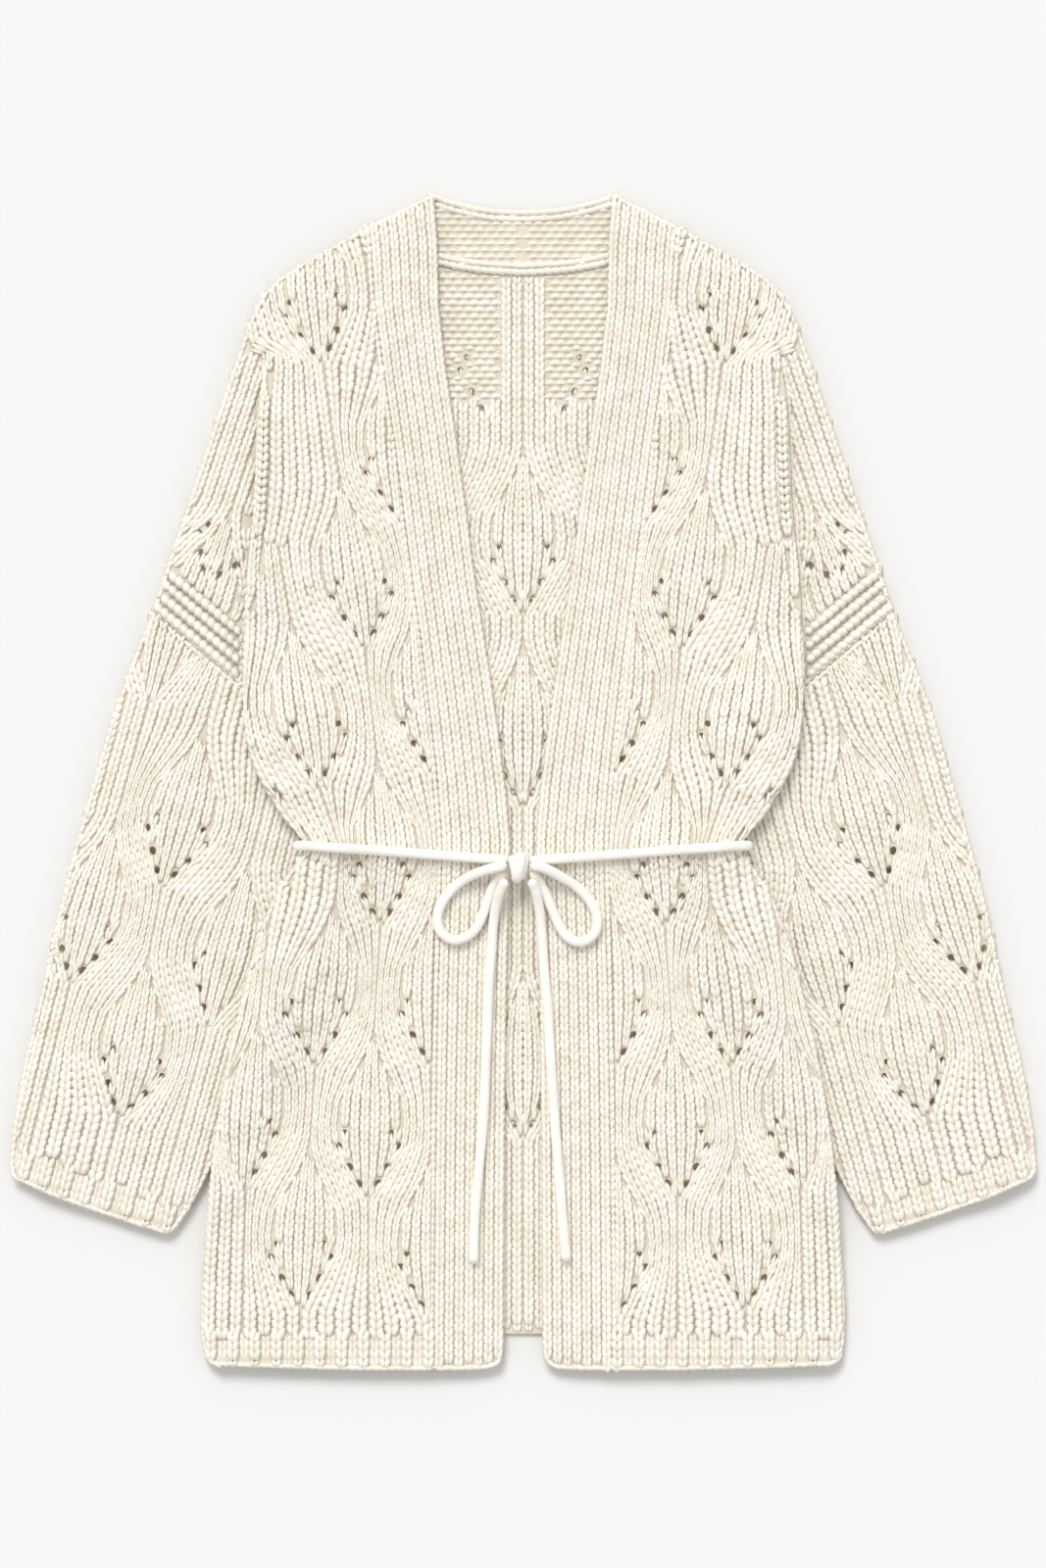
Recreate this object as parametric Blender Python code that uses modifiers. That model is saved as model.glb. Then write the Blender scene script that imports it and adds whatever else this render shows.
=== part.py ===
"""A chunky knitted wrap cardigan with a tie belt, laid flat on its back with the belt tied in a bow.

Frame: +X towards the wearer's left, +Y from the hem to the collar, +Z up from the surface that it lies on.
The tables are in millimetres. 'across' runs out from the centre line and 'level' runs down from the top of
the collar, so one table serves both halves. Meshes are made in metres.
"""

import math

import bmesh
import bpy
import numpy as np
from mathutils import Vector
from mathutils.geometry import delaunay_2d_cdt

MM = 0.001
LENGTH = 861.8  # top of the collar to the front hem
BACK_LENGTH = 836.0  # the back hem sits higher than the front one

# Cloth: a bulky two-ply yarn knits up about this thick.
WALL = 4.0
EDGE_WALL = 1.7  # what is left of the wall right at a folded edge
FOLD_ROUND = 6.0  # how far in from a folded edge the wall rounds off
LAYER_GAP = 1.0  # air between two layers that lie on each other
SEAM_GAP = 0.5  # between two pieces joined side by side
CORD = 7.6  # knitted tie cord
CORD_PRESSED = 5.0  # its height where the body lies on it
CORD_CLEAR = 1.1

# Outline of the shoulder and the dropped shoulder, from the neck to the armhole seam: across, level.
SHOULDER = (
    (66, 0), (107, 21), (133, 35), (157, 49), (178, 62), (189, 73), (197, 87), (205, 108),
    (213, 132), (232, 188), (250, 242), (261, 274), (271, 306),
)
# Where the body's cloth rolls over the dropped shoulder: across, level.
FOLD = ((188, 118), (193.5, 160), (195, 195), (197, 235), (201, 274), (203, 300), (204, 335), (204.5, 361.5))
# Side of the body from the end of that fold, in at the belt and out to the hem: across, level.
SIDE = (
    (204.5, 361.5), (203.4, 387), (200.9, 405), (195.6, 422), (186.8, 438), (178, 452), (169.3, 464),
    (161, 472), (159, 477), (159.5, 483), (169, 495), (180.5, 513), (190.4, 536), (198.7, 564),
    (205.3, 591), (211.9, 617), (216.9, 644), (221.8, 670), (225.1, 693), (228.2, 720), (231.3, 754),
    (234, 788), (235.7, 815),
)
FRONT_HEM = ((235.4, 838), (233, 853), (227, 858.5), (168, 860.5), (115, 861.8), (66, 861.8))
BACK_HEM = ((234, 829), (227, 835), (150, 836), (75, 836), (0, 836))
# Opening edge of the front band: across, level.
OPENING = (
    (66, 0), (63, 36), (62, 82), (56.8, 130), (50.1, 174), (41.7, 235), (35.4, 283), (29.9, 318),
    (23.4, 360), (18.3, 396), (13.1, 436), (9.9, 472), (9.8, 484), (10.3, 504), (12.2, 576),
    (13.3, 648), (13.9, 720), (14.4, 792), (14.6, 848),
)
BAND_WIDTH = ((50, 0), (47, 60), (45, 120), (45.5, 300), (49, 450), (50.5, 862))  # width, level
# Back of the neck: top edge of the band, and the seam where it meets the back panel: across, level.
NECK_TOP = ((0, 11.5), (22, 10.5), (44, 6.5), (58, 2.5), (66, 0))
NECK_SEAM = ((0, 60), (36, 57.5), (68, 51), (96, 40), (113.5, 25))
# Sleeve: folded outer edge, cuff, then the folded inner edge back up to its hidden end: across, level.
SLEEVE_OUTER = (
    (271, 306), (282, 333), (292, 360), (303.5, 393), (313, 428), (323, 461), (332.4, 495), (341, 530),
    (350, 574), (358.3, 609), (365.3, 638), (370.5, 666), (374, 692), (375.8, 713),
)
CUFF = ((373.5, 721.5), (341, 736), (306, 748.4), (280, 757), (262, 762))
SLEEVE_INNER = (
    (255.5, 760), (245, 745), (236, 729), (228, 712), (214.6, 684), (196, 634), (181, 598), (166, 560),
    (152, 530), (143, 500), (138, 475), (140, 455), (148, 430), (160, 399.5),
)

# Belt: level at the centre and at the sides, and the half width that it draws the body in to.
BELT_CENTRE, BELT_SIDE, WAIST_HALF = 489.3, 477.3, 159.0
BELT_ROWS = (-19, -12.5, -6, 6, 12.5, 19)
BELT_STATION = 15.0
KNOT_SIZE = (13.5, 26.0, 19.0)
KNOT_ACROSS, KNOT_LEVEL, KNOT_HEIGHT = -3.3, 493.5, 25.5

# Lace: one leaf has an eyelet ladder down each arm of a V. across, up from the V's foot, length, width.
LEAF_ARM = ((6.8, 7.2, 7.0, 4.6), (13.7, 19.4, 6.6, 4.9), (21.6, 34.6, 6.2, 4.6), (17.3, 44.5, 5.2, 4.3))
ARM_LEAN = 28.0  # degrees off the leaf's own axis
LEAF_POD = (54.0, 24.0, 38.0, 1.5)  # how far up its middle is, half width, half height, how far it stands up
# V feet: across, level, lean of the leaf in degrees (foot towards the centre is plus), arms, scale.
FRONT_LEAVES = (
    (146.9, 121.7, 8.5, "both", 1.0), (89.3, 237.6, 6.0, "outer", 1.0), (115.9, 329.8, 4.0, "both", 1.0),
    (150.0, 431.3, 2.0, "both", 0.95), (66.0, 421.2, 2.0, "outer", 0.95), (103.7, 532.8, 0.0, "both", 0.92),
    (151.6, 635.8, 0.0, "both", 1.0), (67.0, 635.8, 0.0, "outer", 1.0), (203.0, 723.6, 0.0, "inner", 1.0),
    (113.0, 732.2, 0.0, "both", 1.0), (162.7, 813.6, 0.0, "both", 1.0), (67.7, 820.8, 0.0, "outer", 1.0),
)
DROP_LEAF = ((231.0, 283.0, -22.0, "both", 0.85),)
SLEEVE_LEAVES = (
    (263.5, 504.0, -17.0, "both", 1.0), (330.0, 573.8, -15.0, "both", 0.92), (229.7, 604.8, -17.0, "outer", 1.0),
    (295.5, 674.2, -16.0, "both", 1.0),
)
BACK_LEAVES = (
    (24.0, 164.0, 0.0, "outer", 1.0), (0.0, 303.8, 0.0, "both", 1.0), (0.0, 446.0, 0.0, "both", 1.0),
    (104.0, 233.8, 0.0, "both", 1.0), (97.0, 588.0, 0.0, "both", 1.0), (0.0, 689.0, 0.0, "both", 1.0),
)

RIB_PITCH, RIB_RAISE = 16.0, 1.3  # hem and cuff ribs
HEM_RIB, CUFF_RIB = 25.0, 22.0  # how deep they are
RIDGE_PITCH, RIDGE_COUNT, RIDGE_RAISE = 8.2, 4, 1.2  # purl ridges round the armhole

# Creases drawn in by the belt and pleats in the skirt: start across, level, end across, level, height, half width.
CREASES = (
    (132, 474, 137, 402, -2.6, 9.0), (96, 478, 92, 430, -1.6, 8.0), (118, 474, 122, 425, 2.0, 8.0),
    (128, 489, 160, 572, -3.0, 7.0), (143, 489, 181, 580, 3.2, 11.0), (98, 492, 96, 540, -1.5, 8.0),
    (72, 492, 70, 535, 1.2, 9.0), (148, 470, 166, 420, 2.6, 10.0),
)

CREAM = (0.83, 0.76, 0.62, 1.0)
BELT_CREAM = (0.87, 0.82, 0.70, 1.0)


def ease(share):
    """0 below 0, 1 above 1, and a smooth S between them."""
    share = np.clip(share, 0.0, 1.0)
    return share * share * (3 - 2 * share)


def smooth_line(points, step):
    """Points about a step apart on the smooth curve through the given ones."""
    points = np.array(points, float)
    ends = np.vstack([2 * points[0] - points[1], points, 2 * points[-1] - points[-2]])
    line = []
    for before, start, end, after in zip(ends, ends[1:], ends[2:], ends[3:]):
        count = max(1, round(np.linalg.norm(end - start) / step))
        for t in np.arange(count) / count:
            line.append(
                0.5 * (2 * start + (end - before) * t + (2 * before - 5 * start + 4 * end - after) * t**2
                       + (3 * start - before - 3 * end + after) * t**3)
            )
    return np.array([*line, points[-1]])


def across_at(table, level):
    """How far out a table's line is at a level."""
    table = np.array(table, float)
    return np.interp(level, table[:, 1], table[:, 0])


def distance(points, line):
    """From each point to the nearest place on a line."""
    points, line = np.atleast_2d(points), np.array(line, float)
    start, step = line[:-1], line[1:] - line[:-1]
    share = ((points[:, None] - start) * step).sum(2) / np.maximum((step**2).sum(1), 1e-9)
    nearest = start + np.clip(share, 0, 1)[..., None] * step
    return np.linalg.norm(points[:, None] - nearest, axis=2).min(1)


def inside(points, loop):
    """Whether each point is inside a closed outline."""
    points, loop = np.atleast_2d(points), np.array(loop, float)
    x, y = points[:, 0, None], points[:, 1, None]
    first, second = loop, np.roll(loop, -1, axis=0)
    spans = (first[:, 1] > y) != (second[:, 1] > y)
    rise = np.where(second[:, 1] == first[:, 1], 1e-9, second[:, 1] - first[:, 1])
    crossing = first[:, 0] + (y - first[:, 1]) / rise * (second[:, 0] - first[:, 0])
    return (spans & (x < crossing)).sum(1) % 2 == 1


def band_outer(level):
    return across_at(OPENING, level) + across_at(BAND_WIDTH, level)


def with_belt_levels(levels):
    """Adds the levels that give the belt's ridge its shape, in place of those near them."""
    near = BELT_CENTRE + np.array(BELT_ROWS) + (BELT_SIDE - BELT_CENTRE) * 0.2
    levels = np.array([level for level in levels if np.abs(near - level).min() > 4])
    return np.sort(np.append(levels, near))


def band_outer_line(step):
    levels = with_belt_levels(np.arange(25.0, LENGTH, step))
    return np.column_stack([band_outer(levels), levels])


def opening_line(step):
    levels = with_belt_levels(smooth_line(OPENING, step)[:, 1])
    return np.column_stack([across_at(OPENING, levels), levels])


def waist_level(across):
    return BELT_CENTRE + (BELT_SIDE - BELT_CENTRE) * np.clip(np.abs(across) / WAIST_HALF, 0, 1)


SEAM_START, SEAM_END = np.array(SHOULDER[-1], float), np.array(FOLD[-1], float)
SEAM_ALONG = (SEAM_END - SEAM_START) / np.linalg.norm(SEAM_END - SEAM_START)
SEAM_UP = np.array([SEAM_ALONG[1], -SEAM_ALONG[0]])
SEAM_UP *= -np.sign(SEAM_UP[1])
SLEEVE_OUTLINE = np.vstack([
    smooth_line(SLEEVE_OUTER, 15), smooth_line(CUFF, 8), smooth_line(SLEEVE_INNER, 15), [SLEEVE_OUTER[0]],
])
SLEEVE_EDGES = (smooth_line(SLEEVE_OUTER, 15), smooth_line(SLEEVE_INNER, 15))
FOLD_LINE = smooth_line(FOLD, 14)


def above_seam(points):
    """How far a point lies on the shoulder's side of the armhole seam."""
    return (np.atleast_2d(points) - SEAM_START) @ SEAM_UP


def on_drop(points):
    """Whether a point belongs to the dropped shoulder, outside the fold and above the armhole seam."""
    points = np.atleast_2d(points)
    past_fold = points[:, 0] > across_at(FOLD_LINE, points[:, 1]) + 0.3
    return past_fold & (points[:, 1] > FOLD[0][1]) & (above_seam(points) > -1)


def body_middle(points):
    """Height of the plane between the back panel and the fronts, folded to absolute 'across' values."""
    points = np.abs(np.atleast_2d(points))
    away = np.where(inside(points, SLEEVE_OUTLINE), 0, distance(points, SLEEVE_OUTLINE))
    over_sleeve = (2 * WALL + LAYER_GAP + 1.4) * ease(1 - (away - 4) / 38)
    to_belt = np.abs(points[:, 1] - waist_level(points[:, 0]))
    over_belt = (CORD_PRESSED + CORD_CLEAR) * ease(1 - (to_belt - 6) / 13)
    inside_waist = ease((WAIST_HALF + 6 - points[:, 0]) / 6)
    raised = over_sleeve + over_belt * inside_waist
    return WALL + LAYER_GAP / 2 + np.where(on_drop(points), 0, raised)


def wall_at(to_fold):
    """Wall thickness at a distance from a folded edge."""
    left = 1 - np.clip(to_fold / FOLD_ROUND, 0, 1)
    share = EDGE_WALL / WALL
    return WALL * (share + (1 - share) * np.sqrt(1 - left**2))


def folded_edges(points, slit_too=True):
    """Distance to the shoulder and side folds, and to the fold over the dropped shoulder."""
    lines = [SHOULDER, [*SIDE, FRONT_HEM[0], FRONT_HEM[1]]]
    if slit_too:
        lines.append(FOLD_LINE)
    return np.min([distance(points, line) for line in lines], axis=0)


def crease_height(points):
    total = np.zeros(len(points))
    for start_x, start_y, end_x, end_y, height, half in CREASES:
        start, end = np.array([start_x, start_y], float), np.array([end_x, end_y], float)
        along = (end - start) / np.linalg.norm(end - start)
        share = ((points - start) @ along) / np.linalg.norm(end - start)
        off = (points - start) @ np.array([-along[1], along[0]])
        fade = ease((share + 0.15) / 0.2) * ease((1.15 - share) / 0.6)
        total += height * fade * np.exp(-((off / half) ** 2))
    return total


def front_bottom(points):
    """Underside of the fronts and their bands: they lie on the back, puffed out above and below the belt."""
    points = np.atleast_2d(points)
    across, level = points[:, 0], points[:, 1]
    drop = on_drop(points)
    to_side = folded_edges(points, slit_too=False)
    base = 1.0 + 2.2 * ease((across - across_at(OPENING, level)) / 45)
    roll = 7.0 * np.exp(-(((level - 398) / 62) ** 2)) * np.exp(-((to_side / 50) ** 2))
    hip = 3.0 * np.exp(-(((level - 575) / 60) ** 2)) * np.exp(-((to_side / 55) ** 2))
    puff = (base + roll + hip + crease_height(points)) * ease(to_side / 16)
    to_belt = np.abs(level - waist_level(across))
    puff *= 1 - 0.8 * np.exp(-((to_belt / 13) ** 2))
    lift = np.interp(level, (FOLD[0][1], 165, 290, 362, 400), (0, 7.0, 7.5, 1.0, 0))
    lift = lift * np.exp(-((distance(points, FOLD_LINE) / 42) ** 2))
    puff = np.maximum(puff, 0) + lift
    dome = 0.8 * ease(distance(points, SHOULDER) / 20)
    return body_middle(points) + LAYER_GAP / 2 + np.where(drop, dome, puff)


def leaf_relief(points, leaves):
    """Height of the leaf pods over the plain cloth."""
    up, half_width, half_height, stand = LEAF_POD
    total = np.zeros(len(points))
    for across, level, lean, arms, scale in leaves:
        if arms != "both":
            continue
        turn = math.radians(lean)
        axis = np.array([math.sin(turn), -math.cos(turn)])
        side = np.array([math.cos(turn), math.sin(turn)])
        middle = np.array([across, level]) + axis * up * scale
        off = ((points - middle) @ side / half_width) ** 2 + ((points - middle) @ axis / half_height) ** 2
        total = np.maximum(total, stand * np.clip(1 - off, 0, 1))
    return total


def front_top(points):
    points = np.atleast_2d(points)
    wall = np.where(
        on_drop(points),
        wall_at(distance(points, SHOULDER)),
        wall_at(folded_edges(points)),
    )
    calm = ease((folded_edges(points) - 4) / 8)
    leaves = leaf_relief(points, FRONT_LEAVES) * calm
    leaves *= ease((np.abs(points[:, 1] - waist_level(points[:, 0])) - 8) / 10)
    ribs = RIB_RAISE * (0.5 + 0.5 * np.cos(2 * math.pi * points[:, 0] / RIB_PITCH))
    ribs *= points[:, 1] > LENGTH - HEM_RIB - 1
    return front_bottom(points) + wall + leaves + ribs + armhole_ridges(points)


def armhole_ridges(points):
    up = above_seam(points)
    height = RIDGE_RAISE * (0.5 - 0.5 * np.cos(2 * math.pi * up / RIDGE_PITCH))
    on = on_drop(points) & (up > 0) & (up < RIDGE_PITCH * RIDGE_COUNT)
    return np.where(on, height * ease(distance(points, SHOULDER) / 6), 0)


def band_top(points):
    points = np.atleast_2d(points)
    to_opening = distance(points, OPENING)
    rounded = 1.6 * (1 - np.sqrt(1 - (1 - np.clip(to_opening / 4, 0, 1)) ** 2))
    return front_bottom(points) + wall_at(distance(points, SHOULDER)) - rounded


def back_top(points):
    return body_middle(points) - LAYER_GAP / 2


def back_bottom(points):
    flat = np.abs(np.atleast_2d(points))
    lines = (SHOULDER, [*SIDE, *BACK_HEM[:2]])
    to_fold = np.min([distance(flat, line) for line in lines], axis=0)
    return back_top(points) - wall_at(to_fold)


def sleeve_edge(points):
    return np.min([distance(points, line) for line in SLEEVE_EDGES], axis=0)


def sleeve_upper_bottom(points):
    outer, inner = (distance(points, line) for line in SLEEVE_EDGES)
    dome = 3.0 * ease(outer / 30) * ease((inner - 55) / 45) * ease((np.abs(above_seam(points)) - 2) / 40)
    return WALL + LAYER_GAP + dome


def cuff_share(points):
    """Distance from the cuff's edge, and how far round the cuff a point lies."""
    start, end = np.array(CUFF[0], float), np.array(CUFF[-1], float)
    along = (end - start) / np.linalg.norm(end - start)
    return distance(points, CUFF), (points - start) @ along


def sleeve_upper_top(points):
    from_cuff, round_cuff = cuff_share(points)
    ribs = RIB_RAISE * (0.5 + 0.5 * np.cos(2 * math.pi * round_cuff / RIB_PITCH)) * (from_cuff < CUFF_RIB + 1)
    seen = ease((distance(points, SLEEVE_EDGES[1]) - 40) / 20)
    relief = leaf_relief(points, SLEEVE_LEAVES) * seen + ribs * ease(sleeve_edge(points) / 6)
    return sleeve_upper_bottom(points) + wall_at(sleeve_edge(points)) + relief


def sleeve_under_bottom(points):
    return WALL - wall_at(sleeve_edge(points))


def eyelets(leaves):
    """The corner points of each eyelet of each leaf, four to a hole."""
    holes = []
    for across, level, lean, arms, scale in leaves:
        for hand, arm in ((1, "outer"), (-1, "inner")):
            if arms not in ("both", arm):
                continue
            for off, up, length, width in LEAF_ARM:
                turn = math.radians(lean)
                side, axis = np.array([math.cos(turn), math.sin(turn)]), np.array([math.sin(turn), -math.cos(turn)])
                middle = np.array([across, level]) + scale * (hand * off * side + up * axis)
                slant = turn + math.radians(ARM_LEAN) * hand
                long, short = (np.array([math.sin(slant), -math.cos(slant)]),
                               np.array([math.cos(slant), math.sin(slant)]))
                holes.append(np.array([
                    middle + long * length / 2, middle + short * width / 2,
                    middle - long * length / 2, middle - short * width / 2,
                ]))
    return holes


class Panel:
    """A flat cut of cloth: its outline, its holes and the points that its surface needs."""

    def __init__(self, outline, holes=()):
        self.outline = np.array(outline, float)
        self.points = [*self.outline]
        self.loops = [list(range(len(self.outline)))]
        self.holes = []
        for hole in holes:
            if not inside(hole, self.outline).all() or distance(hole, self.closed()).min() < 1.5:
                continue
            self.loops.append(list(range(len(self.points), len(self.points) + len(hole))))
            self.points.extend(hole)
            self.holes.append(hole)

    def closed(self):
        return np.vstack([self.outline, self.outline[:1]])

    def add(self, candidates, apart):
        """Keeps the candidates that are inside the cloth and not too near another point."""
        candidates = np.atleast_2d(np.array(candidates, float))
        kept = inside(candidates, self.outline) & (distance(candidates, self.closed()) > min(apart, 1.2))
        for point in candidates[kept]:
            if any(inside(point, hole)[0] for hole in self.holes):
                continue
            if np.linalg.norm(np.array(self.points) - point, axis=1).min() > apart:
                self.points.append(point)

    def add_rows_inside(self, line, depths, apart):
        """Points at given depths inside a folded edge, so that its rounding has its shape."""
        line = np.array(line, float)
        along = np.gradient(line, axis=0)
        normal = np.column_stack([-along[:, 1], along[:, 0]])
        normal /= np.linalg.norm(normal, axis=1)[:, None]
        for depth in depths:
            self.add(np.vstack([line + normal * depth, line - normal * depth]), apart)

    def add_grid(self, step, apart):
        low, high = self.outline.min(0), self.outline.max(0)
        for row, level in enumerate(np.arange(low[1], high[1], step * 0.87)):
            across = np.arange(low[0] + step / 2 * (row % 2), high[0], step)
            self.add(np.column_stack([across, np.full(len(across), level)]), apart)

    def triangles(self):
        edges = [(loop[i], loop[(i + 1) % len(loop)]) for loop in self.loops for i in range(len(loop))]
        flat = [Vector(point) for point in self.points]
        made, _, faces, *_ = delaunay_2d_cdt(flat, edges, [], 0, 1e-5)
        points = np.array([tuple(point) for point in made])
        faces = np.array([face for face in faces if len(face) == 3])
        middles = points[faces].mean(1)
        keep = inside(middles, self.outline)
        for hole in self.holes:
            keep &= ~inside(middles, hole)
        return points, faces[keep]


def material(name, colour, roughness):
    made = bpy.data.materials.get(name) or bpy.data.materials.new(name)
    made.use_nodes = True
    shader = made.node_tree.nodes["Principled BSDF"]
    shader.inputs["Base Color"].default_value = colour
    shader.inputs["Roughness"].default_value = roughness
    shader.inputs["Metallic"].default_value = 0.0
    return made


def place(points, heights, side):
    """Table values to the part's own frame, in metres."""
    return np.column_stack([side * points[:, 0], LENGTH / 2 - points[:, 1], heights]) * MM


def add_object(name, mesh, finish, collection):
    made = bpy.data.objects.new(name, mesh)
    made.data.materials.append(finish)
    collection.objects.link(made)
    return made


def cloth(name, panel, bottom, top, side, collection, finish, shift=None):
    """A panel's flat triangles extruded into a wall whose two faces take their own heights."""
    points, faces = panel.triangles()
    made = bmesh.new()
    flat = [made.verts.new((x, y, 0)) for x, y in points]
    for face in faces:
        made.faces.new([flat[i] for i in face])
    loose = [vertex for vertex in flat if not vertex.link_faces]
    bmesh.ops.delete(made, geom=loose, context="VERTS")
    raised = bmesh.ops.extrude_face_region(made, geom=list(made.faces))["geom"]
    upper = [item for item in raised if isinstance(item, bmesh.types.BMVert)]
    lower = [vertex for vertex in made.verts if vertex not in set(upper)]
    for vertices, height in ((lower, bottom), (upper, top)):
        plan = np.array([(vertex.co.x, vertex.co.y) for vertex in vertices])
        heights = height(plan)
        if shift is not None:
            plan = plan + shift(plan)
        for vertex, place_ in zip(vertices, place(plan, heights, side)):
            vertex.co = place_
    bmesh.ops.recalc_face_normals(made, faces=list(made.faces))
    mesh = bpy.data.meshes.new(name)
    print(name, "eyelets", len(panel.holes))
    made.to_mesh(mesh)
    made.free()
    mesh.shade_smooth()
    mesh.set_sharp_from_angle(angle=math.radians(50))
    return add_object(name, mesh, finish, collection)


def between(start, end, step):
    """Points from start to end, without the last."""
    start, end = np.array(start, float), np.array(end, float)
    count = max(1, round(np.linalg.norm(end - start) / step))
    return start + (end - start) * (np.arange(count) / count)[:, None]


def from_level(line, level):
    """The part of a line below a level, starting exactly on it."""
    line = np.array(line, float)
    rest = line[line[:, 1] > level + 0.5]
    return np.vstack([[across_at(line, level), level], rest])


def front_outline():
    shoulder = smooth_line(SHOULDER, 20)
    start = 27.0
    shoulder = from_level(shoulder, start)
    shoulder[0, 0] = band_outer(start) + SEAM_GAP
    shoulder[0, 1] = np.interp(shoulder[0, 0], *np.array(SHOULDER, float).T)
    drop_side = FOLD_LINE[::-1].copy()
    drop_side[:-1, 0] += 0.7
    seam = between(shoulder[-1], drop_side[0], 9)[1:]
    band = band_outer_line(22)[::-1] + (SEAM_GAP, 0)
    band = band[(band[:, 1] > shoulder[0, 1] + 8)]
    hem = smooth_line(FRONT_HEM, 100)
    hem_start = np.array([band_outer(LENGTH) + SEAM_GAP, LENGTH])
    ribs = np.arange(RIB_PITCH / 2, 232, RIB_PITCH / 2)
    rib_points = [(x, np.interp(x, hem[::-1, 0], hem[::-1, 1])) for x in ribs[::-1] if hem_start[0] + 3 < x < 225]
    return np.vstack([
        shoulder, seam, drop_side, FOLD_LINE[1:], smooth_line(SIDE, 20)[1:],
        np.array(FRONT_HEM[:3], float), rib_points, [hem_start], band,
    ])


def add_belt_rows(panel):
    across = np.arange(0, WAIST_HALF, BELT_STATION)
    for offset in BELT_ROWS:
        panel.add(np.column_stack([across, waist_level(across) + offset]), 3)


def add_body_points(panel, with_fold):
    """The rows that the back and the fronts share: the belt, the sleeve's hidden end and the folded edges."""
    add_belt_rows(panel)
    hidden = between(SLEEVE_INNER[-1], SEAM_END, 10)
    for up in (-6, 0.1, 5, 16, 30, 43):
        panel.add(hidden + SEAM_UP * up, 6)
    panel.add_rows_inside(smooth_line(SLEEVE_INNER, 24), (0.1, 5, 18, 32, 44), 8)
    panel.add_rows_inside(smooth_line(SHOULDER, 20), (2.8,), 1.8)
    panel.add_rows_inside(smooth_line([*SIDE, FRONT_HEM[0]], 20), (2.8,), 1.8)
    if with_fold:
        panel.add_rows_inside(FOLD_LINE, (2.2, 7), 1.8)


def make_fronts(collection, finish):
    def tuck(points):
        """The dropped shoulder's cloth runs in under the body's fold."""
        depth = np.interp(points[:, 1], (FOLD[0][1], 160, 290, 318), (0, 9, 9, 0))
        past = points[:, 0] - across_at(FOLD_LINE, points[:, 1])
        inwards = np.where(on_drop(points), depth * (1 - ease(past / 26)), 0)
        return np.column_stack([-inwards, np.zeros(len(points))])

    panel = Panel(front_outline(), eyelets((*FRONT_LEAVES, *DROP_LEAF)))
    add_body_points(panel, with_fold=True)
    for start_x, start_y, end_x, end_y, _, _ in CREASES:
        panel.add(between((start_x, start_y), (end_x, end_y), 22), 8)
    ribs = np.arange(0, 232, RIB_PITCH / 2)
    for level in (LENGTH - HEM_RIB, LENGTH - HEM_RIB / 2):
        panel.add(np.column_stack([ribs, np.full(len(ribs), level)]), 3)
    for row in range(2 * RIDGE_COUNT + 1):
        start = SEAM_START + SEAM_UP * row * RIDGE_PITCH / 2
        panel.add(between(start, start + SEAM_ALONG * 84, 20), 3)
    for across, level, _, arms, scale in FRONT_LEAVES:
        if arms == "both":
            panel.add([(across, level - LEAF_POD[0] * scale)], 6)
    panel.add_grid(28, 14)
    for name, side in (("front_left", 1), ("front_right", -1)):
        cloth(name, panel, front_bottom, front_top, side, collection, finish, tuck)


def make_bands(collection, finish):
    opening = opening_line(19)
    corner = (band_outer(25.0), np.interp(band_outer(25.0), *np.array(SHOULDER, float).T))
    shoulder = np.vstack([between((66, 0), corner, 12), [corner]])
    outer = band_outer_line(22)[1:]
    foot = [(band_outer(LENGTH), LENGTH), (40, LENGTH), (24, LENGTH - 0.8), (17, LENGTH - 5)]
    panel = Panel(np.vstack([shoulder, outer, foot, opening[::-1][:-1]]))
    panel.add_rows_inside(opening, (2.5,), 1.4)
    panel.add_rows_inside(smooth_line(SHOULDER, 12), (2.8,), 1.8)
    add_belt_rows(panel)
    panel.add_grid(28, 14)
    for name, side in (("band_left", 1), ("band_right", -1)):
        cloth(name, panel, front_bottom, band_top, side, collection, finish)


def both_halves(line):
    """A line from the centre outwards, with its mirror image before it."""
    line = np.array(line, float)
    return np.vstack([(line * (-1, 1))[::-1][:-1], line])


def make_neck_band(collection, finish):
    top_edge = both_halves(smooth_line(NECK_TOP, 11))
    seam = both_halves(smooth_line(NECK_SEAM, 14))[::-1] - (0, SEAM_GAP)
    shoulder = between((66, 0), (113.5, 24.0), 12)[1:]
    outline = np.vstack([top_edge, shoulder, seam, (shoulder * (-1, 1))[::-1]])
    panel = Panel(outline)
    bead = both_halves(smooth_line(NECK_SEAM, 14))
    for up in (2.5, 5.5, 8.5):
        panel.add(bead - (0, up), 1.5)
    for depth in (2.2, 6.5):
        panel.add(both_halves(smooth_line(NECK_TOP, 11)) + (0, depth), 1.5)
    panel.add_grid(18, 9)

    def bottom(points):
        return WALL - wall_at(distance(np.abs(points), SHOULDER))

    def top(points):
        flat = np.abs(points)
        bead_height = 1.8 * np.exp(-(((distance(flat, NECK_SEAM) - 5.5) / 3.2) ** 2))
        free_edge = 1.4 * (1 - np.sqrt(1 - (1 - np.clip(distance(flat, NECK_TOP) / 5, 0, 1)) ** 2))
        under_front = ease((66 - flat[:, 0]) / 8)
        return WALL + (bead_height - free_edge) * under_front

    cloth("neck_band", panel, bottom, top, 1, collection, finish)


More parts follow.
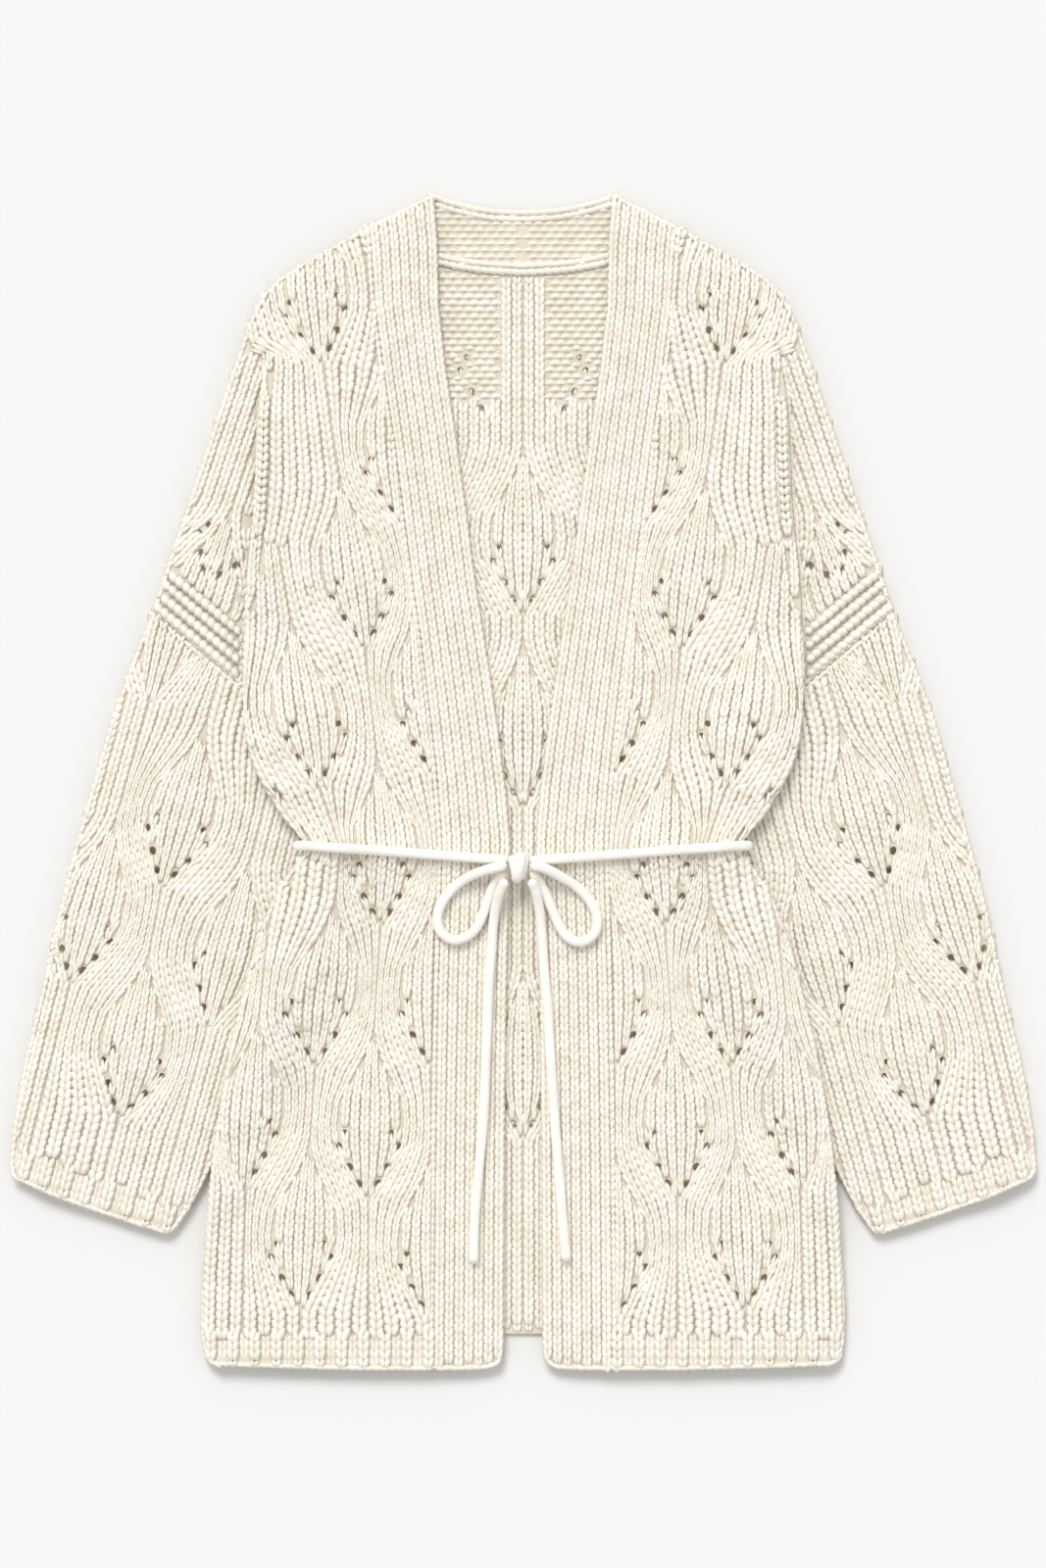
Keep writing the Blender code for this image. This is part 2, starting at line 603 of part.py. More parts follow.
def make_back(collection, finish):
    shoulder = from_level(smooth_line(SHOULDER, 20), 28.0)
    slit_line = from_level(FOLD_LINE, 312.0)
    drop_side = slit_line[::-1].copy()
    drop_side[:-1, 0] += 0.7
    seam = between(shoulder[-1], drop_side[0], 14)[1:]
    half = np.vstack([
        smooth_line(NECK_SEAM, 14)[:-1], [(113.5, 26.0)], shoulder[1:], seam, drop_side, slit_line[1:],
        smooth_line(SIDE, 20)[1:], smooth_line(BACK_HEM, 30),
    ])
    mirrored = (half * (-1, 1))[::-1]
    holes = eyelets(BACK_LEAVES)
    holes += [hole * (-1, 1) for hole in eyelets([leaf for leaf in BACK_LEAVES if leaf[0] > 0])]
    panel = Panel(np.vstack([half, mirrored[1:-1]]), holes)
    shared = Panel(half)
    add_body_points(shared, with_fold=False)
    extra = np.array(shared.points[len(half):])
    panel.add(np.vstack([extra, extra * (-1, 1)]), 1.8)
    panel.add_grid(44, 22)
    cloth("back", panel, back_bottom, back_top, 1, collection, finish)


def make_sleeves(collection, finish):
    seam = between(np.array(SLEEVE_INNER[-1], float), SEAM_START, 12)[1:] - SEAM_UP * SEAM_GAP
    outer = smooth_line(SLEEVE_OUTER, 20)
    outer[0] -= SEAM_UP * SEAM_GAP
    inner = smooth_line(SLEEVE_INNER, 20)
    inner[-1] -= SEAM_UP * SEAM_GAP
    plain = np.vstack([outer, np.array(CUFF, float), inner, seam])
    start, end = np.array(CUFF[0], float), np.array(CUFF[-1], float)
    length = np.linalg.norm(end - start)
    along = (end - start) / length
    inwards = np.array([along[1], -along[0]])
    inwards *= -np.sign(inwards[1])
    stations = np.arange(RIB_PITCH / 2, length - 3, RIB_PITCH / 2)
    cuff = [np.array([x, np.interp(x, *np.array(CUFF, float)[::-1].T)]) for x in start[0] + stations * along[0]]
    ribbed = np.vstack([outer, [start], cuff, [end], inner, seam])

    upper = Panel(ribbed, eyelets(SLEEVE_LEAVES))
    under = Panel(plain)
    for line in (outer, inner):
        upper.add_rows_inside(line, (2.2, 7), 1.8)
        under.add_rows_inside(line, (2.8,), 1.8)
    for depth in (CUFF_RIB / 2, CUFF_RIB):
        upper.add(np.array(cuff) - inwards * depth, 3)
        upper.add(np.array(cuff) + inwards * depth, 3)
    for across, level, lean, arms, scale in SLEEVE_LEAVES:
        if arms == "both":
            turn = math.radians(lean)
            axis = np.array([math.sin(turn), -math.cos(turn)])
            upper.add([np.array([across, level]) + axis * LEAF_POD[0] * scale], 6)
    upper.add_grid(28, 14)
    under.add_grid(60, 30)
    for hand, side in (("left", 1), ("right", -1)):
        cloth(f"sleeve_{hand}_upper", upper, sleeve_upper_bottom, sleeve_upper_top, side, collection, finish)
        cloth(
            f"sleeve_{hand}_under", under, sleeve_under_bottom, lambda points: np.full(len(points), WALL),
            side, collection, finish,
        )


# Bow and ends of the belt, from the knot outwards, towards +X for the wearer's left: x, level, and height
# over what is below.
LOOP_LEFT = (
    (5.0, 491.8, 8.6), (15.1, 493.9, 7.8), (26.6, 499.7, 4.0), (38.9, 507.6, 0.8), (49, 518.4, 0), (54, 529.9, 0),
    (52.6, 541.4, 0), (43.9, 547.9, 0), (35.3, 546.5, 0), (28.1, 539.3, 0), (23, 528.5, 0), (18.7, 518.4, 0.3),
    (13.7, 506.9, 2.2), (8.5, 499.6, 3.2), (4.7, 498.4, 2.8),
)
LOOP_RIGHT = (
    (-11.6, 491.8, 8.6), (-21.6, 493.9, 7.4), (-36.7, 499, 2.4), (-49.7, 507.6, 0.3), (-59, 519.1, 0),
    (-62.6, 529.9, 0), (-60.5, 540, 0), (-51.8, 546.5, 0), (-42.5, 545, 0), (-34.6, 538.6, 0), (-29.5, 528.5, 0),
    (-25.2, 516.2, 0.3), (-20.2, 504.5, 2.2), (-15.2, 499.6, 3.2), (-11.4, 498.4, 2.8),
)
TIE_LEFT = (
    (5.6, 502.5, 12.8), (7.8, 507, 11.2), (9.8, 512.5, 9), (11.2, 520, 5.5), (13, 534.2, 2.2), (14.4, 552.2, 0.3),
    (15.8, 572.4, 0), (18, 596.2, 0), (22, 663.1, 0), (25.9, 711.4, 0), (28.8, 750.2, 0), (31.7, 781.9, 0),
)
TIE_RIGHT = (
    (-12.2, 502.5, 12.8), (-15, 507, 11.2), (-17.4, 512.5, 9), (-19.4, 520, 5.5), (-21.6, 534.2, 1.6),
    (-23, 552, 0.2), (-25.2, 583.9, 0), (-26.6, 602.6, 0), (-27.4, 653.8, 0), (-32, 711.4, 0),
    (-35.3, 750.2, 0), (-36, 783.4, 0),
)


def tube(name, route, thickness, collection, finish):
    """A cord along a route in millimetres of the part's own frame."""
    line = bpy.data.curves.new(name, "CURVE")
    line.dimensions = "3D"
    line.bevel_depth = thickness / 2 * MM
    line.bevel_resolution = 2
    line.use_fill_caps = True
    spline = line.splines.new("POLY")
    spline.points.add(len(route) - 1)
    for point, target in zip(spline.points, route):
        point.co = (*(np.array(target) * MM), 1)
    made = bpy.data.objects.new(name, line)
    made.data.materials.append(finish)
    collection.objects.link(made)
    return made


def on_front(points):
    """Top of the fronts and their bands at table points."""
    points = np.atleast_2d(points)
    flat = np.abs(points)
    on_band = flat[:, 0] < band_outer(flat[:, 1])
    return np.where(on_band, band_top(flat), front_top(flat))


def lying_route(route, step):
    """A cord's route over the fronts, as high over them as the table says."""
    route = smooth_line(route, step)
    plan = route[:, :2]
    below = [on_front(plan + (shift, 0)) for shift in (-2.5, 0, 2.5)]
    heights = np.max(below, axis=0) + CORD / 2 + 0.8 + np.maximum(route[:, 2], 0)
    return np.column_stack([plan[:, 0], LENGTH / 2 - plan[:, 1], heights])


def belt_route(side):
    """From the knot over the fronts to the side, where the cord turns down round the waist."""
    across = np.append(np.arange(7.0, WAIST_HALF - 8, 10), WAIST_HALF - 4) * side
    across[0] += KNOT_ACROSS
    plan = np.column_stack([across, waist_level(across)])
    heights = np.max([on_front(plan + (0, shift)) for shift in (-3, 0, 3)], axis=0) + CORD / 2 + 0.9
    over = np.column_stack([across, LENGTH / 2 - plan[:, 1], heights])
    low = 2 * WALL + LAYER_GAP + 0.6 + CORD / 2
    top = heights[-1]
    turn = [(3.0, top - 2.2), (5.4, top - 6.0), (5.4, (top + low) / 2)]
    return [*over, *((side * (WAIST_HALF + out), over[-1][1], height) for out, height in turn)]


def make_belt(collection, finish):
    bpy.ops.mesh.primitive_cube_add(size=1)
    knot = bpy.context.object
    knot.name = "belt_knot"
    knot.data.name = "belt_knot"
    for vertex in knot.data.vertices:
        vertex.co = Vector(np.array(vertex.co) * KNOT_SIZE * 1.18 * MM)
    knot.location = (KNOT_ACROSS * MM, (LENGTH / 2 - KNOT_LEVEL) * MM, KNOT_HEIGHT * MM)
    round_off = knot.modifiers.new("round", "SUBSURF")
    round_off.levels = round_off.render_levels = 2
    knot.data.materials.append(finish)
    for holder in list(knot.users_collection):
        holder.objects.unlink(knot)
    collection.objects.link(knot)
    for hand, side, loop, tie in (("left", 1, LOOP_LEFT, TIE_LEFT), ("right", -1, LOOP_RIGHT, TIE_RIGHT)):
        tube(f"bow_{hand}", lying_route(loop, 7.0), CORD, collection, finish)
        tube(f"tie_{hand}", lying_route(tie, 12.0), CORD, collection, finish)
        tube(f"belt_{hand}", belt_route(side), CORD, collection, finish)


def make_belt_back(collection, finish):
    """The stretch of the cord that the body lies on: pressed flat, over the sleeves' edges and along the ground."""
    across = np.append(np.arange(0, WAIST_HALF, BELT_STATION), WAIST_HALF + 2)
    plan = np.column_stack([across, waist_level(across)])
    middle = back_bottom(plan) - CORD_PRESSED / 2 - CORD_CLEAR
    half = np.column_stack([across, LENGTH / 2 - plan[:, 1], middle])
    whole = np.vstack([(half * (-1, 1, 1))[::-1][:-1], half])
    made = tube("belt_back", whole, CORD, collection, finish)
    graph = bpy.context.evaluated_depsgraph_get()
    mesh = bpy.data.meshes.new_from_object(made.evaluated_get(graph))
    bpy.data.objects.remove(made)
    solid = bmesh.new()
    solid.from_mesh(mesh)
    bmesh.ops.remove_doubles(solid, verts=solid.verts, dist=1e-6)
    for vertex in solid.verts:
        centre = np.interp(abs(vertex.co.x) / MM, half[:, 0], half[:, 2]) * MM
        vertex.co.z = centre + (vertex.co.z - centre) * CORD_PRESSED / CORD
    solid.to_mesh(mesh)
    solid.free()
    mesh.name = "belt_back"
    add_object("belt_back", mesh, finish, collection)


def main():
    for existing in list(bpy.data.objects):
        bpy.data.objects.remove(existing)
    collection = bpy.data.collections.new("wrap_cardigan")
    bpy.context.scene.collection.children.link(collection)
    wool = material("cream_wool_knit", CREAM, 0.9)
    cord = material("knitted_cord", BELT_CREAM, 0.85)
    make_back(collection, wool)
    make_sleeves(collection, wool)
    make_fronts(collection, wool)
    make_bands(collection, wool)
    make_neck_band(collection, wool)
    make_belt(collection, cord)
    make_belt_back(collection, cord)


main()
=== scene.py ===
# %% [markdown]
# A bulky, cream, lace-knit wrap cardigan lies on its back on a pale table, its cord belt tied in a bow.
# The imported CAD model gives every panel's outline, eyelets and folds. This lesson lays real knitted stitches on
# those panels, because at this gauge each stitch is as wide as a pencil and can be seen from across a room.

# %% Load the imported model
import math

import bmesh
import bpy
import numpy as np
from mathutils import Matrix, Vector
from mathutils.bvhtree import BVHTree
from mathutils.kdtree import KDTree


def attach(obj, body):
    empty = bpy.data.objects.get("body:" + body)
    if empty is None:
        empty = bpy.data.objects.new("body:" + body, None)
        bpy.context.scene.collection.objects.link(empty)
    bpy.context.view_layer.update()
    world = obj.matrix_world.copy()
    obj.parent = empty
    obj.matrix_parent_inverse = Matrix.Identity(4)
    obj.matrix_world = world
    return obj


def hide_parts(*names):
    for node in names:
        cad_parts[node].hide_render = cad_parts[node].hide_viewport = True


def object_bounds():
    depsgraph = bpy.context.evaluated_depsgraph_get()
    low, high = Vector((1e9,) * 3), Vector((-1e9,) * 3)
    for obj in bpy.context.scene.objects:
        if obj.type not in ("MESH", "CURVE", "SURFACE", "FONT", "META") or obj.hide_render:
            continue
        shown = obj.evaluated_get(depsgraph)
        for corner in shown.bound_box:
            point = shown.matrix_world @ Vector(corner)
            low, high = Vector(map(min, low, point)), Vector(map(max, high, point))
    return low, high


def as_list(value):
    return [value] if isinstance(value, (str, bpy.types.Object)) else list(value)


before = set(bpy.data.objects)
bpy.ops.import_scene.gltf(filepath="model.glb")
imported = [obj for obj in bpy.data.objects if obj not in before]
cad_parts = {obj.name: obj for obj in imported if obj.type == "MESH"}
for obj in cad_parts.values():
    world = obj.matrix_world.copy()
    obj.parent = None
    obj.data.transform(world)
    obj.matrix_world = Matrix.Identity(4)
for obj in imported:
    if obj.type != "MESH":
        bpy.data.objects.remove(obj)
bounds_at_start = [list(corner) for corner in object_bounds()]
TOP_LEVEL = bounds_at_start[1][1] * 1000  # mm from the middle to the top of the collar
print("nodes:", len(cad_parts), "top level:", round(TOP_LEVEL, 1))

# %% [markdown]
# Knitters count gauge as stitches and rows in 10 cm. This yarn gives about 13 stitches and 16 rows, so one
# stitch is 7.9 mm wide and 6.1 mm high. All the tables below are in millimetres: 'across' is measured from the
# centre line outwards, and 'level' from the top of the collar downwards, so one table serves both sides.

# %% Gauge and the lines that the stitches follow
STITCH_WIDE, STITCH_HIGH = 7.9, 6.1
YARN = 3.2
CORD_THICK = 7.6
OPENING = np.array((
    (66, 0), (63, 36), (62, 82), (56.8, 130), (50.1, 174), (41.7, 235), (35.4, 283), (29.9, 318), (23.4, 360),
    (18.3, 396), (13.1, 436), (9.9, 472), (9.8, 484), (10.3, 504), (12.2, 576), (13.3, 648), (13.9, 720), (14.6, 862),
))
BAND_WIDE = np.array(((50, 0), (47, 60), (45, 120), (45.5, 300), (49, 450), (50.5, 862)))
FOLD = np.array(((188, 118), (193.5, 160), (195, 195), (197, 235), (201, 274), (203, 300), (204, 335), (204.5, 361.5)))
SIDE = np.array((
    (204.5, 361.5), (203.4, 387), (200.9, 405), (195.6, 422), (186.8, 438), (178, 452), (169.3, 464),
    (161, 472), (159, 477), (159.5, 483), (169, 495), (180.5, 513), (190.4, 536), (198.7, 564), (205.3, 591),
    (211.9, 617), (216.9, 644), (221.8, 670), (225.1, 693), (228.2, 720), (231.3, 754), (234, 788), (235.7, 862),
))
SEAM_START, SEAM_END = np.array((271, 306.0)), np.array((204.5, 361.5))
SEAM_ALONG = (SEAM_END - SEAM_START) / np.linalg.norm(SEAM_END - SEAM_START)
SEAM_UP = np.array((SEAM_ALONG[1], -SEAM_ALONG[0])) * -1
SEAM_UP = SEAM_UP if SEAM_UP[1] < 0 else -SEAM_UP
# The lace leaves stand in spines. Each spine has its line (across, level) and the levels of its leaves' feet.
LEAF = np.array((
    (-6, 0), (0, 3), (7.2, 6.8), (19.4, 13.7), (34.6, 21.6), (50, 24), (68, 22), (84, 14), (99, 6), (112, 1.5),
    (120, 0),
))  # rise above the foot, half width
SPINES = (
    (((100, 60), (97, 118), (89.3, 238), (78, 320), (66, 421), (62, 485), (66, 560), (67, 636), (67.7, 870)),
     (237.6, 421.2, 635.8, 820.8)),
    (((152, 60), (146.9, 122), (131, 230), (115.9, 330), (106, 420), (99, 485), (103.7, 533), (111, 640),
      (113, 732), (113, 870)), (121.7, 329.8, 532.8, 732.2)),
    (((196, 60), (188, 160), (183, 235), (167, 330), (150, 431), (133, 480), (139, 540), (151.6, 636),
      (159, 740), (162.7, 814), (163, 870)), (431.3, 635.8, 813.6)),
)
OUTER_SPINE = (((176, 485), (186, 540), (196, 640), (203, 724), (206, 870)), (723.6,))
BACK_SPINE = (((0, 0), (0, 870)), (303.8, 446.0, 689.0))
# Spines of the sleeve and the dropped shoulder, in their own leaning frames: across, and down from the seam.
SLEEVE_SPINES = (
    (((-115, -60), (-115, 279), (-112, 500)), (279.0,)),
    (((-60, -60), (-56.8, 190), (-68.4, 363), (-70, 500)), (190.0, 362.6)),
    (((-14, -60), (-14, 58), (-9.9, 274), (-12, 500)), (58.3, 274.0)),
)
DROP_SPINE = (((-31, -300), (-31, 100)), (30.0,))
SLEEVE_LEAN, DROP_LEAN = -14.5, -18.5


def at_level(table, level):
    """A table's first column at a level."""
    return np.interp(level, table[:, 1], table[:, 0])


def ease(share):
    share = np.clip(share, 0, 1)
    return share * share * (3 - 2 * share)


def above_seam(plan):
    return (plan - SEAM_START) @ SEAM_UP


def on_drop(plan):
    """Whether a place is on the dropped shoulder, which lies under the fold of the body."""
    past = plan[..., 0] > at_level(FOLD, plan[..., 1]) + 0.35
    return past & (plan[..., 1] > 117) & (above_seam(plan) > -1.5)


print("stitches in 10 cm:", round(100 / STITCH_WIDE, 1), "rows:", round(100 / STITCH_HIGH, 1))

# %% [markdown]
# Knitted wool is matt, but a halo of loose fibres catches light at grazing angles, so the yarn has sheen and a
# high roughness. Undyed wool is never one colour: a slow noise warms some stretches and whitens others, and a
# fine one stands in for single fibres. The cloth behind the stitches is the same wool, painted a little darker and
# warmer as shade, which makes the gaps between stitches read. That cloth also gives off a faint warm painted glow,
# standing in for light that passes through open knitting, so an eyelet shows brown there instead of black.


# %% Wool
def linear(code):
    """An sRGB hex colour as linear values."""
    parts = [int(code[i:i + 2], 16) / 255 for i in (1, 3, 5)]
    return (*[part / 12.92 if part <= 0.04045 else ((part + 0.055) / 1.055) ** 2.4 for part in parts], 1.0)


def add_node(tree, kind, links=(), **settings):
    """Adds a node, sets what is named, and links sockets into it by input name."""
    node = tree.nodes.new(kind)
    for name, value in settings.items():
        if name in node.inputs:
            node.inputs[name].default_value = value
        else:
            setattr(node, name, value)
    for socket, source in dict(links).items():
        tree.links.new(source, node.inputs[socket])
    return node


def wool(name, dark, light, fibre=0.35):
    """Matt yarn: two shades of undyed wool, sheen from its halo, and a bump for fibres."""
    made = bpy.data.materials.new(name)
    made.use_nodes = True
    tree = made.node_tree
    shader = tree.nodes["Principled BSDF"]
    place = add_node(tree, "ShaderNodeTexCoord").outputs["Object"]
    slow = add_node(tree, "ShaderNodeTexNoise", {"Vector": place}, Scale=70.0, Detail=3.0)
    blend = add_node(tree, "ShaderNodeMapRange", {"Value": slow.outputs["Fac"]})
    blend.inputs["From Min"].default_value = 0.35
    blend.inputs["From Max"].default_value = 0.65
    shades = add_node(tree, "ShaderNodeMix", {"Factor": blend.outputs["Result"]}, data_type="RGBA")
    shades.inputs[6].default_value = linear(dark)
    shades.inputs[7].default_value = linear(light)
    tree.links.new(shades.outputs[2], shader.inputs["Base Color"])
    fine = add_node(tree, "ShaderNodeTexNoise", {"Vector": place}, Scale=1400.0, Detail=2.0)
    bump = add_node(tree, "ShaderNodeBump", {"Height": fine.outputs["Fac"]}, Strength=fibre, Distance=0.0006)
    tree.links.new(bump.outputs["Normal"], shader.inputs["Normal"])
    shader.inputs["Roughness"].default_value = 0.88
    shader.inputs["Sheen Weight"].default_value = 0.35
    shader.inputs["Sheen Roughness"].default_value = 0.6
    shader.inputs["Specular IOR Level"].default_value = 0.2
    return made


wool_yarn = wool("Undyed bulky wool yarn", "#F2EBDB", "#FAF5EA")
# Painted shade: the cloth between the stitches gets darker, warmer colours of the same wool, so the gaps read as
# shaded.
wool_behind_painted_shade_glow = wool("Undyed wool cloth between stitches, painted shade and glow", "#D6CCB8", "#E0D7C6", 0.5)
# Painted glow: a faint warm emission stands in for light that passes through the open knitting.
wool_behind_painted_shade_glow.node_tree.nodes["Principled BSDF"].inputs["Emission Color"].default_value = linear("#C2AE8A")
wool_behind_painted_shade_glow.node_tree.nodes["Principled BSDF"].inputs["Emission Strength"].default_value = 0.11
cord_yarn = wool("Knitted wool cord", "#F8F3E8", "#FDFAF4")
print("materials:", [made.name for made in (wool_yarn, wool_behind_painted_shade_glow, cord_yarn)])

# %% [markdown]
# Each panel becomes a thin, smooth cloth: the top faces of its CAD solid, cut finer and smoothed in height only,
# so its outline stays where it was. Its diamond eyelets are rounded off here, as yarn pulls a hole round.


# %% Cloth behind the stitches
def plan_of(points):
    """Metres in the part's frame to across and level, with the side folded away."""
    points = np.atleast_2d(points)
    return np.column_stack([np.abs(points[:, 0]) * 1000, TOP_LEVEL - points[:, 1] * 1000])


def round_eyelet(loop):
    """Moves a hole's edge out to the ellipse through its corners and returns (middle, reach)."""
    middle = sum((vertex.co for vertex in loop), Vector()) / len(loop)
    arms = [(vertex.co - middle).xy for vertex in loop]
    longest = max(arms, key=lambda arm: arm.length)
    half_long = longest.length * 0.95
    half_short = max(abs(arm.cross(longest.normalized())) for arm in arms) * 0.95
    turn = math.atan2(longest.y, longest.x)
    for vertex, arm in zip(loop, arms):
        angle = math.atan2(arm.y, arm.x) - turn
        reach = half_long * half_short / math.hypot(half_short * math.cos(angle), half_long * math.sin(angle))
        vertex.co.xy = middle.xy + arm.normalized() * reach
    return (middle.x, middle.y, half_long, half_short, turn)


def edge_loops(cloth):
    """The closed loops of edge vertices of a cloth mesh."""
    unseen = {edge for edge in cloth.edges if edge.is_boundary}
    while unseen:
        edge = unseen.pop()
        loop = [edge.verts[0], edge.verts[1]]
        while loop[-1] is not loop[0]:
            following = next((e for e in loop[-1].link_edges if e in unseen), None)
            if following is None:
                break
            unseen.discard(following)
            loop.append(following.other_vert(loop[-1]))
        yield loop[:-1]


def panel_cloth(node, facing=1, shift=-0.0008, cuts=2, smoothing=10):
    """A fine, smooth copy of one face of a CAD panel, and its eyelets."""
    cloth = bmesh.new()
    cloth.from_mesh(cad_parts[node].data)
    bmesh.ops.remove_doubles(cloth, verts=cloth.verts, dist=2e-5)
    away = [face for face in cloth.faces if face.normal.z * facing < 0.2]
    bmesh.ops.delete(cloth, geom=away, context="FACES")
    bmesh.ops.subdivide_edges(cloth, edges=cloth.edges, cuts=cuts, use_grid_fill=True)
    bmesh.ops.triangulate(cloth, faces=cloth.faces)
    for _ in range(smoothing):
        bmesh.ops.smooth_vert(
            cloth, verts=cloth.verts, factor=0.5, use_axis_x=False, use_axis_y=False, use_axis_z=True
        )
    eyelets, edges = [], []
    for loop in edge_loops(cloth):
        xs = [vertex.co.x for vertex in loop]
        ys = [vertex.co.y for vertex in loop]
        if max(max(xs) - min(xs), max(ys) - min(ys)) < 0.012:
            eyelets.append(round_eyelet(loop))
        else:
            edges.append(spaced([(vertex.co.x, vertex.co.y) for vertex in (*loop, loop[0])], 0.001))
    for vertex in cloth.verts:
        vertex.co.z += shift * facing
    mesh = bpy.data.meshes.new(f"{node}_cloth")
    cloth.to_mesh(mesh)
    cloth.free()
    mesh.shade_smooth()
    mesh.materials.append(wool_behind_painted_shade_glow)
    made = bpy.data.objects.new(f"{node}_cloth", mesh)
    bpy.context.scene.collection.objects.link(made)
    return made, np.array(eyelets).reshape(-1, 5), edges


def spaced(line, step):
    """Evenly spaced points along a line of places."""
    line = np.array(line, float)
    run = np.append(0, np.cumsum(np.linalg.norm(np.diff(line, axis=0), axis=1)))
    stations = np.linspace(0, run[-1], max(2, round(run[-1] / step)))
    return np.column_stack([np.interp(stations, run, column) for column in line.T])


def tree_over(mesh, keep=None):
    """A search tree over the faces whose middles are kept."""
    points = [vertex.co.copy() for vertex in mesh.vertices]
    faces = [tuple(face.vertices) for face in mesh.polygons]
    if keep is not None:
        middles = plan_of(np.array([face.center[:] for face in mesh.polygons]))
        faces = [face for face, kept in zip(faces, keep(middles)) if kept]
    return BVHTree.FromPolygons(points, faces)


PANELS = (
    "back", "front_left", "front_right", "band_left", "band_right", "neck_band",
    "sleeve_left_upper", "sleeve_right_upper",
)
cloths, eyelets, edges, edge_trees = {}, {}, {}, {}
for node in PANELS:
    cloths[node], eyelets[node], edges[node] = panel_cloth(node)
for node in ("back", "sleeve_left_under", "sleeve_right_under"):
    name = f"{node}_outside"
    cloths[name], eyelets[name], edges[name] = panel_cloth(node, facing=-1, shift=-0.0016, cuts=1)
    cloths[name].name = name
for name, loops in edges.items():
    places = np.vstack(loops)
    edge_trees[name] = KDTree(len(places))
    for index, (x, y) in enumerate(places):
        edge_trees[name].insert((x, y, 0), index)
    edge_trees[name].balance()
print({node: (len(made.data.polygons), len(eyelets[node])) for node, made in cloths.items()})

# %% [markdown]
# A knit stitch shows as a V of two legs, and a purl as a bump. One V and one bump are made here, in units of one
# stitch, from short fat strands that taper where they dive into the cloth. They are placed thousands of times,
# so each has only a few dozen faces.


# %% One knit stitch and one purl bump
def strand(path, radii, sides=4):
    """A closed strand through points, with a radius across and a radius out at each."""
    path = np.array(path, float)
    heading = np.gradient(path, axis=0)
    verts, faces = [path[0]], []
    for point, along, (wide, high) in zip(path[1:-1], heading[1:-1], radii):
        across = np.cross(along, (0, 0, 1.0))
        across /= np.linalg.norm(across)
        for turn in np.arange(sides) / sides * 2 * math.pi:
            verts.append(point + across * wide * math.sin(turn) + np.array((0, 0, high)) * math.cos(turn))
    verts.append(path[-1])
    for ring in range(len(path) - 3):
        for side in range(sides):
            first, second = 1 + ring * sides + side, 1 + ring * sides + (side + 1) % sides
            faces.append((first, second, second + sides, first + sides))
    last = len(verts) - 1
    for side in range(sides):
        faces.append((0, 1 + (side + 1) % sides, 1 + side))
        faces.append((last, last - sides + side, last - sides + (side + 1) % sides))
    return verts, faces


def stitch_object(name, strands):
    made = bmesh.new()
    for verts, faces in strands:
        placed = [made.verts.new(vert) for vert in verts]
        for face in faces:
            made.faces.new([placed[i] for i in face])
    bmesh.ops.recalc_face_normals(made, faces=made.faces)
    mesh = bpy.data.meshes.new(name)
    made.to_mesh(mesh)
    made.free()
    mesh.shade_smooth()
    return bpy.data.objects.new(name, mesh)


# across in stitch widths, along in stitch heights, out in yarn thicknesses
LEG = ((0.13, -0.90, -0.30), (0.155, -0.38, 0.20), (0.22, 0.16, 0.28), (0.285, 0.68, 0.20), (0.31, 1.20, -0.34))
LEG_RADII = ((0.225, 0.38), (0.285, 0.42), (0.225, 0.38))
BUMP = ((-0.62, -0.35, -0.4), (-0.34, 0.02, 0.10), (0, 0.20, 0.26), (0.34, 0.02, 0.10), (0.62, -0.35, -0.4))
CHAIN = ((-0.16, -0.80, -0.35), (-0.10, -0.32, 0.16), (0, 0.16, 0.30), (0.10, 0.64, 0.16), (0.16, 1.10, -0.40))
knit_stitch = stitch_object("knit stitch", [
    strand([(x * side, y, z) for x, y, z in LEG], LEG_RADII) for side in (1, -1)
])
purl_bump = stitch_object("purl bump", [strand(BUMP, ((0.36, 0.36), (0.46, 0.42), (0.36, 0.36)))])
chain_link = stitch_object("chain link", [strand(CHAIN, ((0.34, 0.40), (0.46, 0.48), (0.34, 0.40)))])
print("faces in a knit stitch:", len(knit_stitch.data.polygons), "in a purl bump:", len(purl_bump.data.polygons))

# %% [markdown]
# The stitches are set by Geometry Nodes: every point of a plain point cloud carries how its stitch is turned and
# stretched, and the tree puts a stitch there, a little uneven, as hand knitting is. It ends in real geometry.


